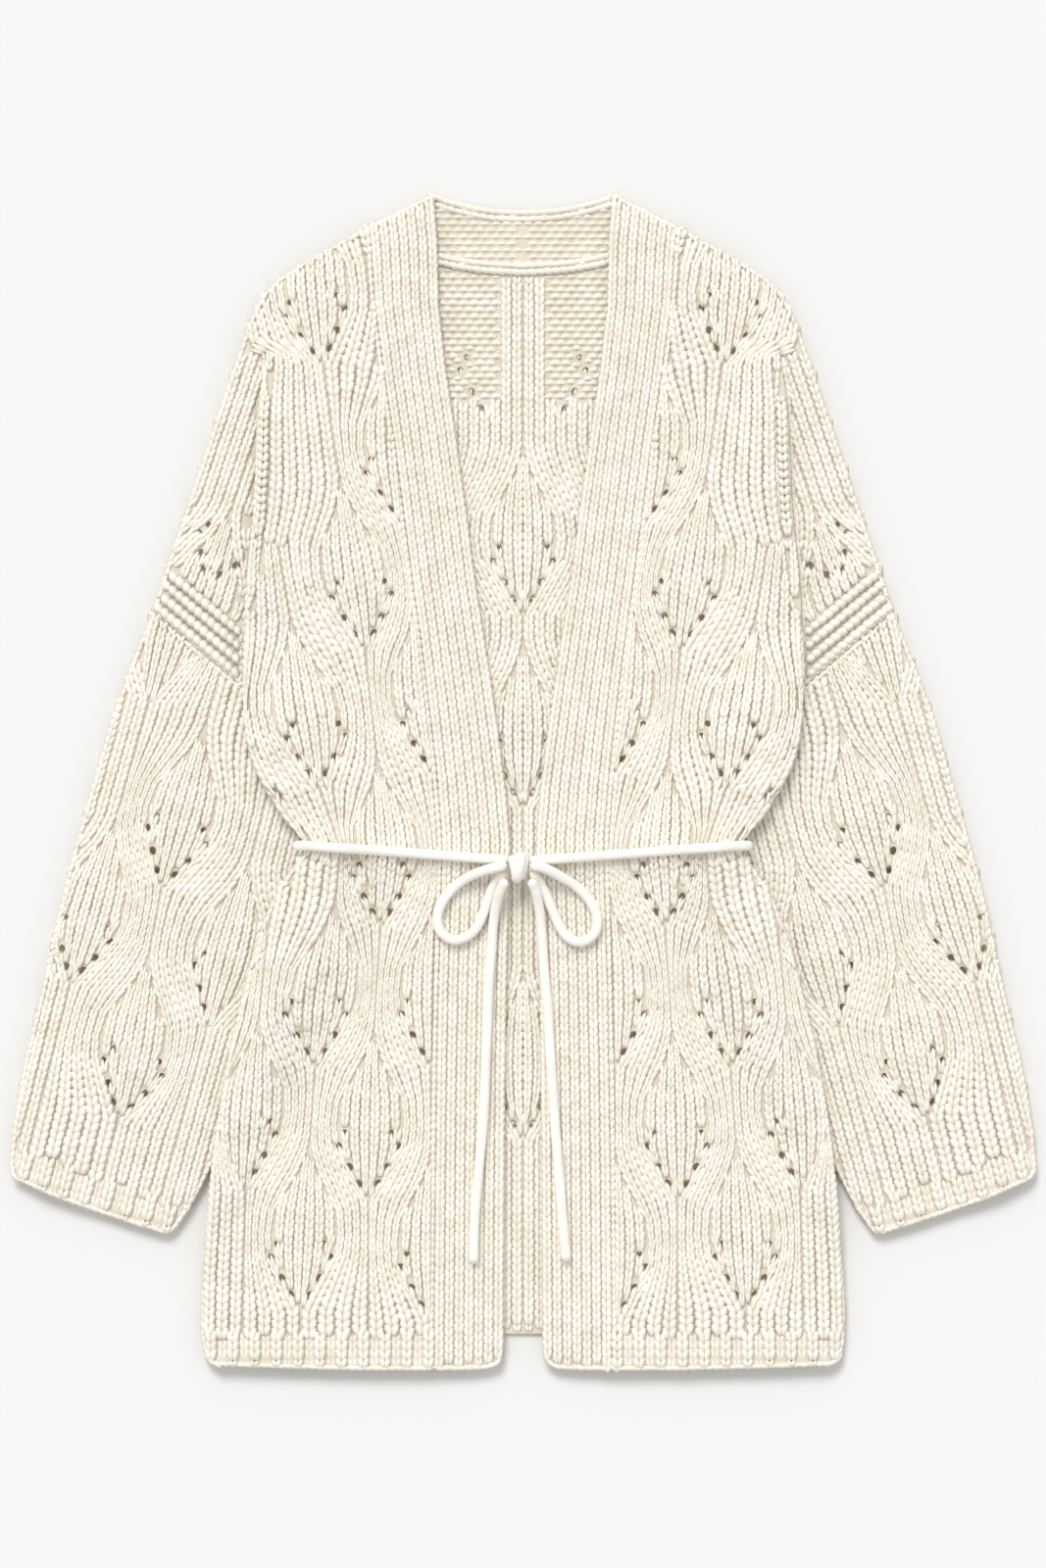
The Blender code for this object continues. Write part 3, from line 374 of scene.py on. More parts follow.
# %% Geometry Nodes tree that sets the stitches
def stitch_tree():
    tree = bpy.data.node_groups.new("Set stitches", "GeometryNodeTree")
    tree.is_modifier = True
    sockets = tree.interface.new_socket
    sockets("Geometry", in_out="OUTPUT", socket_type="NodeSocketGeometry")
    sockets("Geometry", in_out="INPUT", socket_type="NodeSocketGeometry")
    sockets("Stitch", in_out="INPUT", socket_type="NodeSocketObject")
    sockets("Yarn", in_out="INPUT", socket_type="NodeSocketMaterial")
    sockets("Unevenness", in_out="INPUT", socket_type="NodeSocketFloat")
    sockets("Seed", in_out="INPUT", socket_type="NodeSocketInt")
    given = add_node(tree, "NodeGroupInput").outputs
    points = add_node(tree, "GeometryNodeMeshToPoints", {"Mesh": given["Geometry"]})
    stitch = add_node(tree, "GeometryNodeObjectInfo", {"Object": given["Stitch"]})
    turn = add_node(tree, "GeometryNodeInputNamedAttribute", data_type="FLOAT_VECTOR", Name="turn")
    angle = add_node(tree, "FunctionNodeEulerToRotation", {"Euler": turn.outputs["Attribute"]})
    stretch = add_node(tree, "GeometryNodeInputNamedAttribute", data_type="FLOAT_VECTOR", Name="stretch")
    low = add_node(tree, "ShaderNodeMath", {0: given["Unevenness"]}, operation="MULTIPLY_ADD")
    low.inputs[1].default_value = -1.0
    low.inputs[2].default_value = 1.0
    high = add_node(tree, "ShaderNodeMath", {0: given["Unevenness"]}, operation="ADD")
    high.inputs[1].default_value = 1.0
    chance = add_node(tree, "FunctionNodeRandomValue", data_type="FLOAT")
    tree.links.new(low.outputs[0], chance.inputs[2])
    tree.links.new(high.outputs[0], chance.inputs[3])
    tree.links.new(given["Seed"], chance.inputs["Seed"])
    uneven = add_node(tree, "ShaderNodeVectorMath", {0: stretch.outputs["Attribute"]}, operation="SCALE")
    tree.links.new(chance.outputs[1], uneven.inputs["Scale"])
    placed = add_node(tree, "GeometryNodeInstanceOnPoints", {
        "Points": points.outputs["Points"], "Instance": stitch.outputs["Geometry"],
        "Rotation": angle.outputs["Rotation"], "Scale": uneven.outputs["Vector"],
    })
    real = add_node(tree, "GeometryNodeRealizeInstances", {"Geometry": placed.outputs["Instances"]})
    dyed = add_node(tree, "GeometryNodeSetMaterial", {
        "Geometry": real.outputs["Geometry"], "Material": given["Yarn"],
    })
    add_node(tree, "NodeGroupOutput", {"Geometry": dyed.outputs["Geometry"]})
    return tree


SET_STITCHES = stitch_tree()


def set_stitches(name, places, stitch, yarn, seed):
    """places holds rows of x, y, z, turn (3) and stretch (3), in metres and radians."""
    places = np.array(places, float)
    mesh = bpy.data.meshes.new(name)
    mesh.from_pydata(places[:, :3], [], [])
    for label, columns in (("turn", slice(3, 6)), ("stretch", slice(6, 9))):
        data = mesh.attributes.new(label, "FLOAT_VECTOR", "POINT").data
        data.foreach_set("vector", np.ascontiguousarray(places[:, columns], dtype=np.float32).ravel())
    made = bpy.data.objects.new(name, mesh)
    bpy.context.scene.collection.objects.link(made)
    modifier = made.modifiers.new("stitches", "NODES")
    modifier.node_group = SET_STITCHES
    given = {"Stitch": stitch, "Yarn": yarn, "Unevenness": 0.07, "Seed": seed}
    for item in SET_STITCHES.interface.items_tree:
        if item.in_out == "INPUT" and item.name in given:
            modifier[item.identifier] = given[item.name]
    graph = bpy.context.evaluated_depsgraph_get()
    whole = bpy.data.meshes.new_from_object(made.evaluated_get(graph))
    made.modifiers.clear()
    made.data = whole
    whole.name = name
    return made


print("tree:", SET_STITCHES.name, [item.name for item in SET_STITCHES.interface.items_tree])

# %% [markdown]
# Lace bends the columns of stitches. They part at a leaf's foot, run up its two arms of eyelets, bulge round it
# and meet again above its tip, in one line that a knitter calls the spine. Neighbouring spines have their leaves
# half a leaf apart, so the columns between them swing left and right in long ogee curves.


# %% Where the stitches go
def lean_axes(lean):
    turn = math.radians(lean)
    return np.array((math.cos(turn), math.sin(turn))), np.array((math.sin(turn), -math.cos(turn)))


def line_of(spine, level):
    return at_level(np.array(spine[0], float), level)


def half_of(spine, level):
    """Half the width of the leaf that a spine has at a level."""
    rise = np.subtract.outer(np.array(spine[1]), level)
    return np.interp(rise, LEAF[:, 0], LEAF[:, 1], left=0, right=0).max(axis=0)


def between(left, right, rows, count=None, roll=0.0):
    """Columns that fill the space between two spines; without a count, as many as have room in each row.
    The last ones rise by the roll, where the cloth turns over a fold."""
    def room(level):
        start = line_of(left, level) + half_of(left, level) + 0.4
        return start, line_of(right, level) - half_of(right, level) - 0.4 - start

    def counted(row):
        level = (np.floor(row) + 0.5) * STITCH_HIGH
        fitting = np.round((line_of(right, level) - line_of(left, level) - 9) / STITCH_WIDE)
        return np.maximum(1, fitting if count is None else count)

    def flow(cells):
        level = cells[:, 1] * STITCH_HIGH
        start, width = room(level)
        share = cells[:, 0] / counted(cells[:, 1])
        rise = 1.5 * (1 - (2 * share - 1) ** 2) - 0.6 + roll * share**4
        return np.column_stack([start + width * share, level, rise])
    cells = cells_of((0, count or 16), rows)
    roomy = room((cells[:, 1] + 0.5) * STITCH_HIGH)[1] > 3
    return flow, cells[(cells[:, 0] < counted(cells[:, 1])) & roomy]


def around(spine, side, count, rows):
    """Columns that all bend round a spine's leaves alike."""
    def flow(cells):
        level = cells[:, 1] * STITCH_HIGH
        return np.column_stack([
            line_of(spine, level) + side * (half_of(spine, level) + 0.4 + cells[:, 0] * STITCH_WIDE), level,
        ])
    return flow, cells_of((0, count), rows)


def inside_leaves(spine, rows):
    """Upright columns inside a spine's leaves, closing in towards their tips."""
    def flow(cells):
        level = cells[:, 1] * STITCH_HIGH
        bulge = 0.5 + 0.5 * half_of(spine, level) / LEAF[:, 1].max()
        share = cells[:, 0] * 7.4 * bulge / np.maximum(half_of(spine, level), 4)
        rise = 2.2 * np.clip(1 - share**2, 0, 1) - 0.6
        return np.column_stack([line_of(spine, level) + cells[:, 0] * 7.4 * bulge, level, rise])
    cells = cells_of((-4, 4), rows)
    level = (cells[:, 1] + 0.5) * STITCH_HIGH
    away = np.abs(flow(cells + 0.5)[:, 0] - line_of(spine, level))
    return flow, cells[away < half_of(spine, level) - 1.0]


def cells_of(columns, rows):
    """Every whole stitch (column, row) in a range of columns and rows."""
    column, row = np.meshgrid(np.arange(*columns), np.arange(*rows, 1.0))
    return np.column_stack([column.ravel(), row.ravel()]).astype(float)


def leaning(part, lean):
    """A flow and its cells, turned from the plain frame into one that hangs from the armhole seam."""
    flow, cells = part
    side, up = lean_axes(lean)

    def turned(cells):
        places = flow(cells)
        return np.column_stack([SEAM_START + places[:, :1] * side - places[:, 1:2] * up, places[:, 2:]])
    return turned, cells


def band_seam(level):
    return at_level(OPENING, level) + at_level(BAND_WIDE, level)


def traced(edge):
    """An edge as a spine without leaves."""
    levels = np.arange(-20, 881, 10.0)
    return np.column_stack([edge(levels), levels]), (-1000.0,)


BAND_EDGE = traced(band_seam)
BODY_EDGE = traced(lambda level: np.where(
    level < 112, 209, np.where(level < 361.5, at_level(FOLD, level), at_level(SIDE, level)),
))
FRONT = [
    between(BAND_EDGE, SPINES[0], (-2, 143)), between(SPINES[0], SPINES[1], (-2, 143), 4),
    between(SPINES[1], BODY_EDGE, (-2, 42), 6, 2.4), between(SPINES[1], SPINES[2], (42, 143), 4),
    between(SPINES[2], BODY_EDGE, (42, 80), 4, 2.4), between(SPINES[2], OUTER_SPINE, (80, 143), 4),
    between(OUTER_SPINE, BODY_EDGE, (80, 143), 3),
    *(inside_leaves(spine, (-2, 143)) for spine in (*SPINES, OUTER_SPINE)),
]
DROP = [
    leaning(part, DROP_LEAN) for part in (
        around(DROP_SPINE, 1, 9, (-45, 10)), around(DROP_SPINE, -1, 9, (-45, 10)),
        inside_leaves(DROP_SPINE, (-45, 10)),
    )
]
SLEEVE = [
    leaning(part, SLEEVE_LEAN) for part in (
        around(SLEEVE_SPINES[0], -1, 8, (-8, 78)), between(SLEEVE_SPINES[0], SLEEVE_SPINES[1], (-8, 78), 5),
        between(SLEEVE_SPINES[1], SLEEVE_SPINES[2], (-8, 78), 5), around(SLEEVE_SPINES[2], 1, 8, (-8, 78)),
        *(inside_leaves(spine, (-8, 78)) for spine in SLEEVE_SPINES),
    )
]


def ridge_flow(cells):
    """Columns that run along the armhole seam."""
    return SEAM_START + cells[:, :1] * 8.2 * SEAM_UP + cells[:, 1:] * STITCH_HIGH * SEAM_ALONG


def band_flow(cells):
    """Columns that run along the front opening, an even number of them across the band."""
    level = cells[:, 1] * STITCH_HIGH
    share = (cells[:, 0]) / 7
    return np.column_stack([at_level(OPENING, level) + share * at_level(BAND_WIDE, level), level])


def clear_of(holes, spot, yarn):
    """Pulls a stitch aside so that it rings an eyelet; a stitch in the middle of one is left out."""
    away = np.array(spot[:2]) - holes[:, :2]
    turn = holes[:, 4]
    lengthwise = away[:, 0] * np.cos(turn) + away[:, 1] * np.sin(turn)
    crosswise = -away[:, 0] * np.sin(turn) + away[:, 1] * np.cos(turn)
    reach = np.hypot(lengthwise / (holes[:, 2] + yarn), crosswise / (holes[:, 3] + yarn))
    nearest = reach.argmin()
    if reach[nearest] >= 1:
        return spot, 1.0
    if reach[nearest] < 0.42:
        return None, 0.0
    moved = holes[nearest, :2] + away[nearest] / reach[nearest]
    return Vector((moved[0], moved[1], 0)), 0.82


def lay(flow, cells, side, tree, holes, edge, facing=1, keep=None, sink=0.0, size=(1, 1, 1), stagger=0.0,
        yarn=0.0027):
    """Lays stitches on a cloth: their places, turns and stretches follow the flow of the columns."""
    cells = np.array(cells, float)
    cells[:, 1] += stagger * (cells[:, 0] % 2)
    here = flow(cells + 0.5)
    wide = flow(cells + (1, 0.5)) - flow(cells + (0, 0.5))
    high = 2 * (flow(cells + (0.5, 0.25)) - flow(cells + (0.5, 0.75)))
    places = []
    rise = here[:, 2:].sum(axis=1) / 1000
    chosen = np.ones(len(here), bool) if keep is None else keep(here[:, :2])
    for plan, across, along, lift in zip(here[chosen], wide[chosen], high[chosen], rise[chosen]):
        spot = Vector((side * plan[0] / 1000, (TOP_LEVEL - plan[1]) / 1000, 0))
        squeeze = 1.0
        if len(holes):
            spot, squeeze = clear_of(holes, spot, yarn)
            if spot is None:
                continue
        hit, normal, _, _ = tree.ray_cast(spot + Vector((0, 0, facing)), Vector((0, 0, -facing)))
        if hit is None:
            continue
        normal = normal if normal.z * facing > 0 else -normal
        upward = Vector((side * along[0], -along[1], 0)) / 1000
        sink_here = sink - lift
        upward -= normal * upward.dot(normal)
        width = float(np.hypot(*across[:2])) / 1000
        length = upward.length
        axis = upward.normalized()
        near, _, gap = edge_trees[edge].find((spot.x, spot.y, 0))
        if gap < 0.0016:
            continue
        toward = (near - Vector((spot.x, spot.y, 0))) / gap
        lean = abs(toward.dot(axis))
        reach = math.hypot(lean * length * 0.95, (1 - lean) * width * 0.5)
        fitted = min(1.0, max(0.4, gap / reach))
        width, length = width * (0.5 + 0.5 * fitted), length * fitted
        turned = Matrix((axis.cross(normal), axis, normal)).transposed().to_euler()
        shrink = min(1.25, max(0.7, width / (STITCH_WIDE / 1000)))
        places.append((
            *(hit - normal * sink_here), *turned, width * size[0] * squeeze, length * size[1],
            YARN / 1000 * (0.5 + 0.5 * shrink) * size[2],
        ))
    return places


def edge_chain(name, tree, inset=0.0016, step=0.0058, facing=1, size=(0.6, 1, 0.85)):
    """Chain links that run along a cloth's edge, a little inside it."""
    places = []
    for loop in edges[name]:
        line = spaced(loop, step)
        heading = np.gradient(line, axis=0)
        for (x, y), (dx, dy) in zip(line, heading):
            for turn in (1, -1):
                inward = Vector((-dy * turn, dx * turn, 0)).normalized() * inset
                hit, normal, _, _ = tree.ray_cast(Vector((x, y, facing)) + inward, Vector((0, 0, -facing)))
                if hit is not None:
                    break
            if hit is None:
                continue
            normal = normal if normal.z * facing > 0 else -normal
            upward = Vector((dx, dy, 0))
            upward = (upward - normal * upward.dot(normal)).normalized()
            turned = Matrix((upward.cross(normal), upward, normal)).transposed().to_euler()
            places.append((*hit, *turned, STITCH_WIDE / 1000 * size[0], step * size[1], YARN / 1000 * size[2]))
    return places


def covered(trees, slack=8):
    """Whether something lies over a place and its surroundings, so that no stitch is seen there."""
    def test(side, plan):
        for shift in ((slack, 0), (-slack, 0), (0, 0)):
            spot = Vector((side * (plan[0] + shift[0]) / 1000, (TOP_LEVEL - plan[1]) / 1000, 1))
            if all(tree.ray_cast(spot, Vector((0, 0, -1)))[0] is None for tree in trees):
                return False
        return True
    return test


HEM_LEVEL = 861.8 - 25
body_trees = {side: tree_over(cloths[f"front_{hand}"].data, lambda plan: ~on_drop(plan))
              for hand, side in (("left", 1), ("right", -1))}
drop_trees = {side: tree_over(cloths[f"front_{hand}"].data, on_drop) for hand, side in (("left", 1), ("right", -1))}
band_trees = {side: tree_over(cloths[f"band_{hand}"].data) for hand, side in (("left", 1), ("right", -1))}
print("columns across a band: 7, rows down a front:", round(861.8 / STITCH_HIGH))

# %% [markdown]
# The fronts, bands and sleeves show the right side of the knitting. Hems and cuffs are one-by-one rib: every
# second column is purled and sinks back. The armhole has four raised columns that run along its seam.

# %% Knit the fronts, bands and sleeves
def rib(flow, cells, odd, side, tree, holes, edge, keep):
    """The knit columns of a rib, which stand out, or the purl columns, which sink back between them."""
    cells = cells[cells[:, 0] % 2 == odd]
    sink, size = ((-0.0008, (1.12, 1, 1.2)), (0.0014, (1, 1, 1)))[odd]
    return lay(flow, cells, side, tree, holes, edge, keep=keep, sink=sink, size=size)


def hem_flow(cells):
    level = cells[:, 1] * STITCH_HIGH
    return np.column_stack([band_seam(level) + cells[:, 0] * 7.95, level])


def cuff_flow(cells):
    side, up = lean_axes(SLEEVE_LEAN)
    return SEAM_START + cells[:, :1] * 7.9 * side - cells[:, 1:] * STITCH_HIGH * up


def cuff_distance(plan):
    """How far up the sleeve a place lies from the cuff's edge."""
    start, end = np.array((373.5, 721.5)), np.array((280.0, 757.0))
    along = (end - start) / np.linalg.norm(end - start)
    return np.abs((plan - start) @ np.array((along[1], -along[0])))


knitting = {}
for hand, side in (("left", 1), ("right", -1)):
    front, holes = f"front_{hand}", eyelets[f"front_{hand}"]
    knit, raised, sunk = [], [], []
    for flow, cells in FRONT:
        knit += lay(flow, cells, side, body_trees[side], holes, front, keep=lambda plan: plan[:, 1] < HEM_LEVEL,
                    stagger=0.46)
    for odd, part in ((0, raised), (1, sunk)):
        part += rib(hem_flow, cells_of((0, 24), (136, 143)), odd, side, body_trees[side], holes, front,
                    lambda plan: plan[:, 1] >= HEM_LEVEL)
    for flow, cells in DROP:
        knit += lay(flow, cells, side, drop_trees[side], holes, front, keep=lambda plan: above_seam(plan) > 33,
                    stagger=0.46)
    ridges = [(column, row) for column in range(4) for row in range(-2, 18)]
    chains = lay(ridge_flow, ridges, side, drop_trees[side], holes, front, sink=-0.0010, size=(1.05, 1, 1.2),
                 keep=lambda plan: above_seam(plan) > 0)
    chains += edge_chain(front, tree_over(cloths[front].data))
    knitting[front] = (
        set_stitches(f"{front}_knit_stitches", knit + raised, knit_stitch, wool_yarn, 11),
        set_stitches(f"{front}_purl_stitches", sunk, knit_stitch, wool_yarn, 12),
        set_stitches(f"{front}_chains", chains, chain_link, wool_yarn, 20),
    )
    band = [(column, row) for column in range(7) for row in range(-1, 142)]
    strip = f"band_{hand}"
    knit = lay(band_flow, band, side, band_trees[side], (), strip, stagger=0.46)
    knitting[strip] = (
        set_stitches(f"{strip}_knit_stitches", knit, knit_stitch, wool_yarn, 13),
        set_stitches(f"{strip}_chains", edge_chain(strip, band_trees[side]), chain_link, wool_yarn, 21),
    )
    sleeve = f"sleeve_{hand}_upper"
    hidden = covered([body_trees[side]])
    over, holes = tree_over(cloths[sleeve].data), eyelets[sleeve]
    knit, raised, sunk = [], [], []
    for flow, cells in SLEEVE:
        seen = ~np.array([hidden(side, plan) for plan in flow(cells + 0.5)])
        knit += lay(flow, cells[seen], side, over, holes, sleeve, keep=lambda plan: cuff_distance(plan) > 22,
                    stagger=0.46)
    for odd, part in ((0, raised), (1, sunk)):
        part += rib(cuff_flow, cells_of((-24, 8), (55, 80)), odd, side, over, holes, sleeve,
                    lambda plan: cuff_distance(plan) <= 22)
    knitting[sleeve] = (
        set_stitches(f"{sleeve}_knit_stitches", knit + raised, knit_stitch, wool_yarn, 14),
        set_stitches(f"{sleeve}_purl_stitches", sunk, knit_stitch, wool_yarn, 15),
        set_stitches(f"{sleeve}_chains", edge_chain(sleeve, over), chain_link, wool_yarn, 22),
    )
print({node: sum(len(made.data.polygons) for made in pieces) for node, pieces in knitting.items()})

# %% [markdown]
# Through the open neck the back panel shows its wrong side, rows of purl bumps in a brick pattern. The neck band
# shows purls too, above a rolled ridge. The outside of the back and the sleeves lies on the table; it has plain
# knit stitches, larger and fewer, because only a low view from below would ever show them.


# %% Knit the back and the undersides
def brick_flow(cells):
    plan = cells * (STITCH_WIDE, STITCH_HIGH * 0.8)
    plan[:, 0] += np.where(np.floor(cells[:, 1]) % 2 == 0, 0, STITCH_WIDE / 2)
    return plan


def coarse_flow(cells):
    return cells * (12.0, 11.0)


back_tree = tree_over(cloths["back"].data)
neck_tree = tree_over(cloths["neck_band"].data)
inside, columns_inside, neck, outside = [], [], [], []
for side in (1, -1):
    hidden = covered([body_trees[side], band_trees[side]])
    cells = np.array([(column, row) for column in range(0, 12) for row in range(0, 192)], float)
    seen = ~np.array([hidden(side, plan) for plan in brick_flow(cells + 0.5)])
    over_neck = np.array([
        neck_tree.ray_cast(Vector((side * x / 1000, (TOP_LEVEL - y) / 1000, 1)), Vector((0, 0, -1)))[0] is not None
        for x, y in brick_flow(cells + 0.5)
    ])
    purled = (brick_flow(cells + 0.5)[:, 1] < 150) & (brick_flow(cells + 0.5)[:, 0] > 17)
    inside += lay(brick_flow, cells[seen & ~over_neck & purled], side, back_tree, eyelets["back"], "back",
                  yarn=0.0042)
    for flow, columns in (around(BACK_SPINE, 1, 8, (8, 141)), inside_leaves(BACK_SPINE, (8, 141))):
        places = flow(columns + 0.5)
        shown = ~np.array([hidden(side, plan) for plan in places]) & (places[:, 0] > 0)
        shown &= ~((places[:, 1] < 150) & (places[:, 0] > 17)) & (places[:, 1] > 52)
        columns_inside += lay(flow, columns[shown], side, back_tree, eyelets["back"], "back", stagger=0.46,
                              yarn=0.0034)
    neck += lay(brick_flow, cells[seen & over_neck], side, neck_tree, (), "neck_band", size=(1, 0.8, 1))
    wide = np.array([(column, row) for column in range(0, 24) for row in range(-1, 80)], float)
    outside += lay(coarse_flow, wide, side, tree_over(cloths["back_outside"].data), eyelets["back_outside"],
                   "back_outside", facing=-1, size=(1, 1, 0.75))
knitting["back"] = (
    set_stitches("back_purl_stitches", inside, purl_bump, wool_yarn, 16),
    set_stitches("back_inside_columns", columns_inside, knit_stitch, wool_yarn, 23),
    set_stitches("back_knit_stitches", outside, knit_stitch, wool_yarn, 17),
)
knitting["neck_band"] = (
    set_stitches("neck_band_purl_stitches", neck, purl_bump, wool_yarn, 18),
    set_stitches("neck_band_chains", [
        place for inset, size in ((0.0022, (0.75, 1.1, 1.3)), (0.0068, (0.7, 1.1, 1.1)))
        for place in edge_chain("neck_band", neck_tree, inset=inset, size=size)
    ], chain_link, wool_yarn, 24),
)
for hand, side in (("left", 1), ("right", -1)):
    under = f"sleeve_{hand}_under"
    cells = np.array([(column, row) for column in range(10, 33) for row in range(25, 72)], float)
    laid = lay(coarse_flow, cells, side, tree_over(cloths[f"{under}_outside"].data), (), f"{under}_outside",
               facing=-1, size=(1, 1, 0.75))
    knitting[under] = (set_stitches(f"{under}_knit_stitches", laid, knit_stitch, wool_yarn, 19),)
print({node: sum(len(made.data.polygons) for made in pieces) for node, pieces in knitting.items()})

# %% [markdown]
# The belt is a knitted cord: a narrow tube of four columns. A smooth tube with two crossing spirals pressed into
# it gives the same V pattern. The bow's loops go back into the knot, and the two ends hang down with bare ends.


# %% Belt cord
def smooth_route(route, step=0.0022):
    """Evenly spaced points on the smooth curve through a route."""
    route = np.array(route, float)
    ends = np.vstack([2 * route[0] - route[1], route, 2 * route[-1] - route[-2]])
    line = []
    for before, start, end, after in zip(ends, ends[1:], ends[2:], ends[3:]):
        for t in np.arange(12) / 12:
            line.append(0.5 * (2 * start + (end - before) * t + (2 * before - 5 * start + 4 * end - after) * t**2
                               + (3 * start - before - 3 * end + after) * t**3))
    line = np.array([*line, route[-1]])
    run = np.append(0, np.cumsum(np.linalg.norm(np.diff(line, axis=0), axis=1)))
    stations = np.linspace(0, run[-1], max(8, round(run[-1] / step)))
    return np.column_stack([np.interp(stations, run, line[:, i]) for i in range(3)]), run[-1]


def knitted_cord(name, route, thick=CORD_THICK / 1000, flat=1.0, sides=20):
    """A round knitted cord along a route, closed at both ends with rounded tips."""
    line, length = smooth_route(route)
    heading = np.gradient(line, axis=0)
    heading /= np.linalg.norm(heading, axis=1)[:, None]
    across = np.cross(heading, (0, 0, 1.0))
    across /= np.maximum(np.linalg.norm(across, axis=1)[:, None], 1e-9)
    for i in range(1, len(across)):
        across[i] -= heading[i] * (across[i] @ heading[i])
        if across[i] @ across[i - 1] < 0:
            across[i] *= -1
        across[i] /= np.linalg.norm(across[i])
    out = np.cross(across, heading)
    made = bmesh.new()
    rings = []
    for i, point in enumerate(line):
        run = length * i / (len(line) - 1)
        to_end = min(run, length - run)
        tip = math.sqrt(max(0.0, 1 - (1 - min(1, to_end / (thick * 0.45))) ** 2))
        ring = []
        for side in range(sides):
            turn = 2 * math.pi * side / sides
            ridge = abs(math.sin(2 * turn)) * 0.5 + 0.5 * abs(math.sin(math.pi * run / 0.0052 + abs(math.sin(2 * turn)) * 2))
            radius = thick / 2 * (0.90 + 0.13 * ridge) * max(tip, 0.12)
            ring.append(made.verts.new(
                point + across[i] * math.cos(turn) * radius + out[i] * math.sin(turn) * radius * flat
            ))
        rings.append(ring)
    for ring, following in zip(rings, rings[1:]):
        for side in range(sides):
            other = (side + 1) % sides
            made.faces.new((ring[side], ring[other], following[other], following[side]))
    made.faces.new(rings[0][::-1])
    made.faces.new(rings[-1])
    bmesh.ops.recalc_face_normals(made, faces=made.faces)
    mesh = bpy.data.meshes.new(name)
    made.to_mesh(mesh)
    made.free()
    mesh.shade_smooth()
    mesh.materials.append(cord_yarn)
    cord = bpy.data.objects.new(name, mesh)
    bpy.context.scene.collection.objects.link(cord)
    return cord, line, length


# Each route runs from the knot outwards, in millimetres: x, y, z of the cord's middle.
BOWS = {
    "bow_left": (
        (5, -60.9, 28.5), (15.1, -63, 27.9), (26.6, -68.8, 21.9), (38.9, -76.7, 17), (49, -87.5, 16.8),
        (54, -99, 16.9), (52.6, -110.5, 16.8), (43.9, -117, 16.5), (35.3, -115.6, 16), (28.1, -108.4, 15.5),
        (23, -97.6, 15.1), (18.7, -87.5, 15.2), (13.7, -76, 16.8), (8.5, -68.7, 21.6), (4.7, -67.5, 22.1),
    ),
    "bow_right": (
        (-11.6, -60.9, 28.6), (-21.6, -63, 27.6), (-36.7, -68.1, 20.7), (-49.7, -76.7, 17), (-59, -88.2, 17.2),
        (-62.6, -99, 17.2), (-60.5, -109.1, 16.8), (-51.8, -115.6, 16.8), (-42.5, -114.1, 16.5),
        (-34.6, -107.7, 16), (-29.5, -97.6, 15.6), (-25.2, -85.3, 15.6), (-20.2, -73.6, 17.4),
        (-15.2, -68.7, 21.3), (-11.4, -67.5, 21.6),
    ),
}
TIES = {
    "tie_left": (
        (5.6, -71.6, 29.5), (7.8, -76.1, 25.8), (9.8, -81.6, 23.5), (11.2, -89.1, 20.1), (13, -103.3, 16.9),
        (14.4, -121.3, 15), (15.8, -141.5, 14.7), (18, -165.3, 14.8), (20.6, -209.7, 14.9), (24, -258.1, 15),
        (27.4, -300.9, 15.2), (31.7, -351, 15.5),
    ),
    "tie_right": (
        (-12.2, -71.6, 29), (-15, -76.1, 25.8), (-17.4, -81.6, 23.8), (-19.4, -89.1, 20.4), (-21.6, -103.3, 16.6),
        (-23, -121.1, 15.3), (-25.2, -153, 15.2), (-26.8, -194.9, 15.3), (-28.7, -242.3, 15.4),
        (-32, -280.5, 15.6), (-35.3, -319.3, 15.8), (-36, -352.5, 15.8),
    ),
}
# The belt from near the knot to the side, where it turns down, for the wearer's left: mirrored for the right.
BELT = (
    (17, -57.1, 20.1), (37, -55.6, 20.4), (57, -54.1, 20.6), (77, -52.6, 20.6), (97, -51.1, 20.6), (107, -50.3, 22.7),
    (117, -49.6, 26.9), (127, -48.8, 30.1), (137, -48.1, 31.3), (147, -47.3, 31.3), (155, -46.7, 30.4),
    (162, -46.7, 28.2), (164.4, -46.7, 24.4), (164.4, -46.7, 21.9),
)
BELT_STARTS = {"belt_left": (3.7, -58.1, 20), "belt_right": (-10.3, -57.6, 19.2)}
BELT_UNDER = (
    (0, -58.4, 2.5), (45, -55, 2.5), (90, -51.6, 2.5), (105, -50.5, 3.8), (120, -49.3, 9.5), (135, -48.2, 12.9),
    (150, -47.1, 12.9), (161, -46.4, 11.9),
)
KNOT_MIDDLE = np.array((-3.3, -62.6, 25.5))


def metres(route):
    return np.array(route, float) / 1000


for node, route in (*BOWS.items(), *TIES.items()):
    free, line, length = knitted_cord(node, metres(route))
    free.name = f"{node}_cord"
    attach(free, "root")
    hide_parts(node)
    tuple(line[0])
    [tuple(point) for point in line]
    print(node, "length in mm:", round(length * 1000))
for node, start in BELT_STARTS.items():
    turned = [(x * (1 if start[0] > 0 else -1), y, z) for x, y, z in BELT]
    worn, _, _ = knitted_cord(f"{node}_cord", metres([start, *turned]))
    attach(worn, "root")
    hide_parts(node)
under_route = [(-x, y, z) for x, y, z in BELT_UNDER[:0:-1]] + list(BELT_UNDER)
under, _, _ = knitted_cord("belt_back_cord", metres(under_route), flat=0.64)
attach(under, "root")
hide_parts("belt_back")

# %% [markdown]
# The knot is the cord crossing over itself and wrapping the bow once, so it is made of short turns of the same
# cord, pulled tight enough that they bulge.

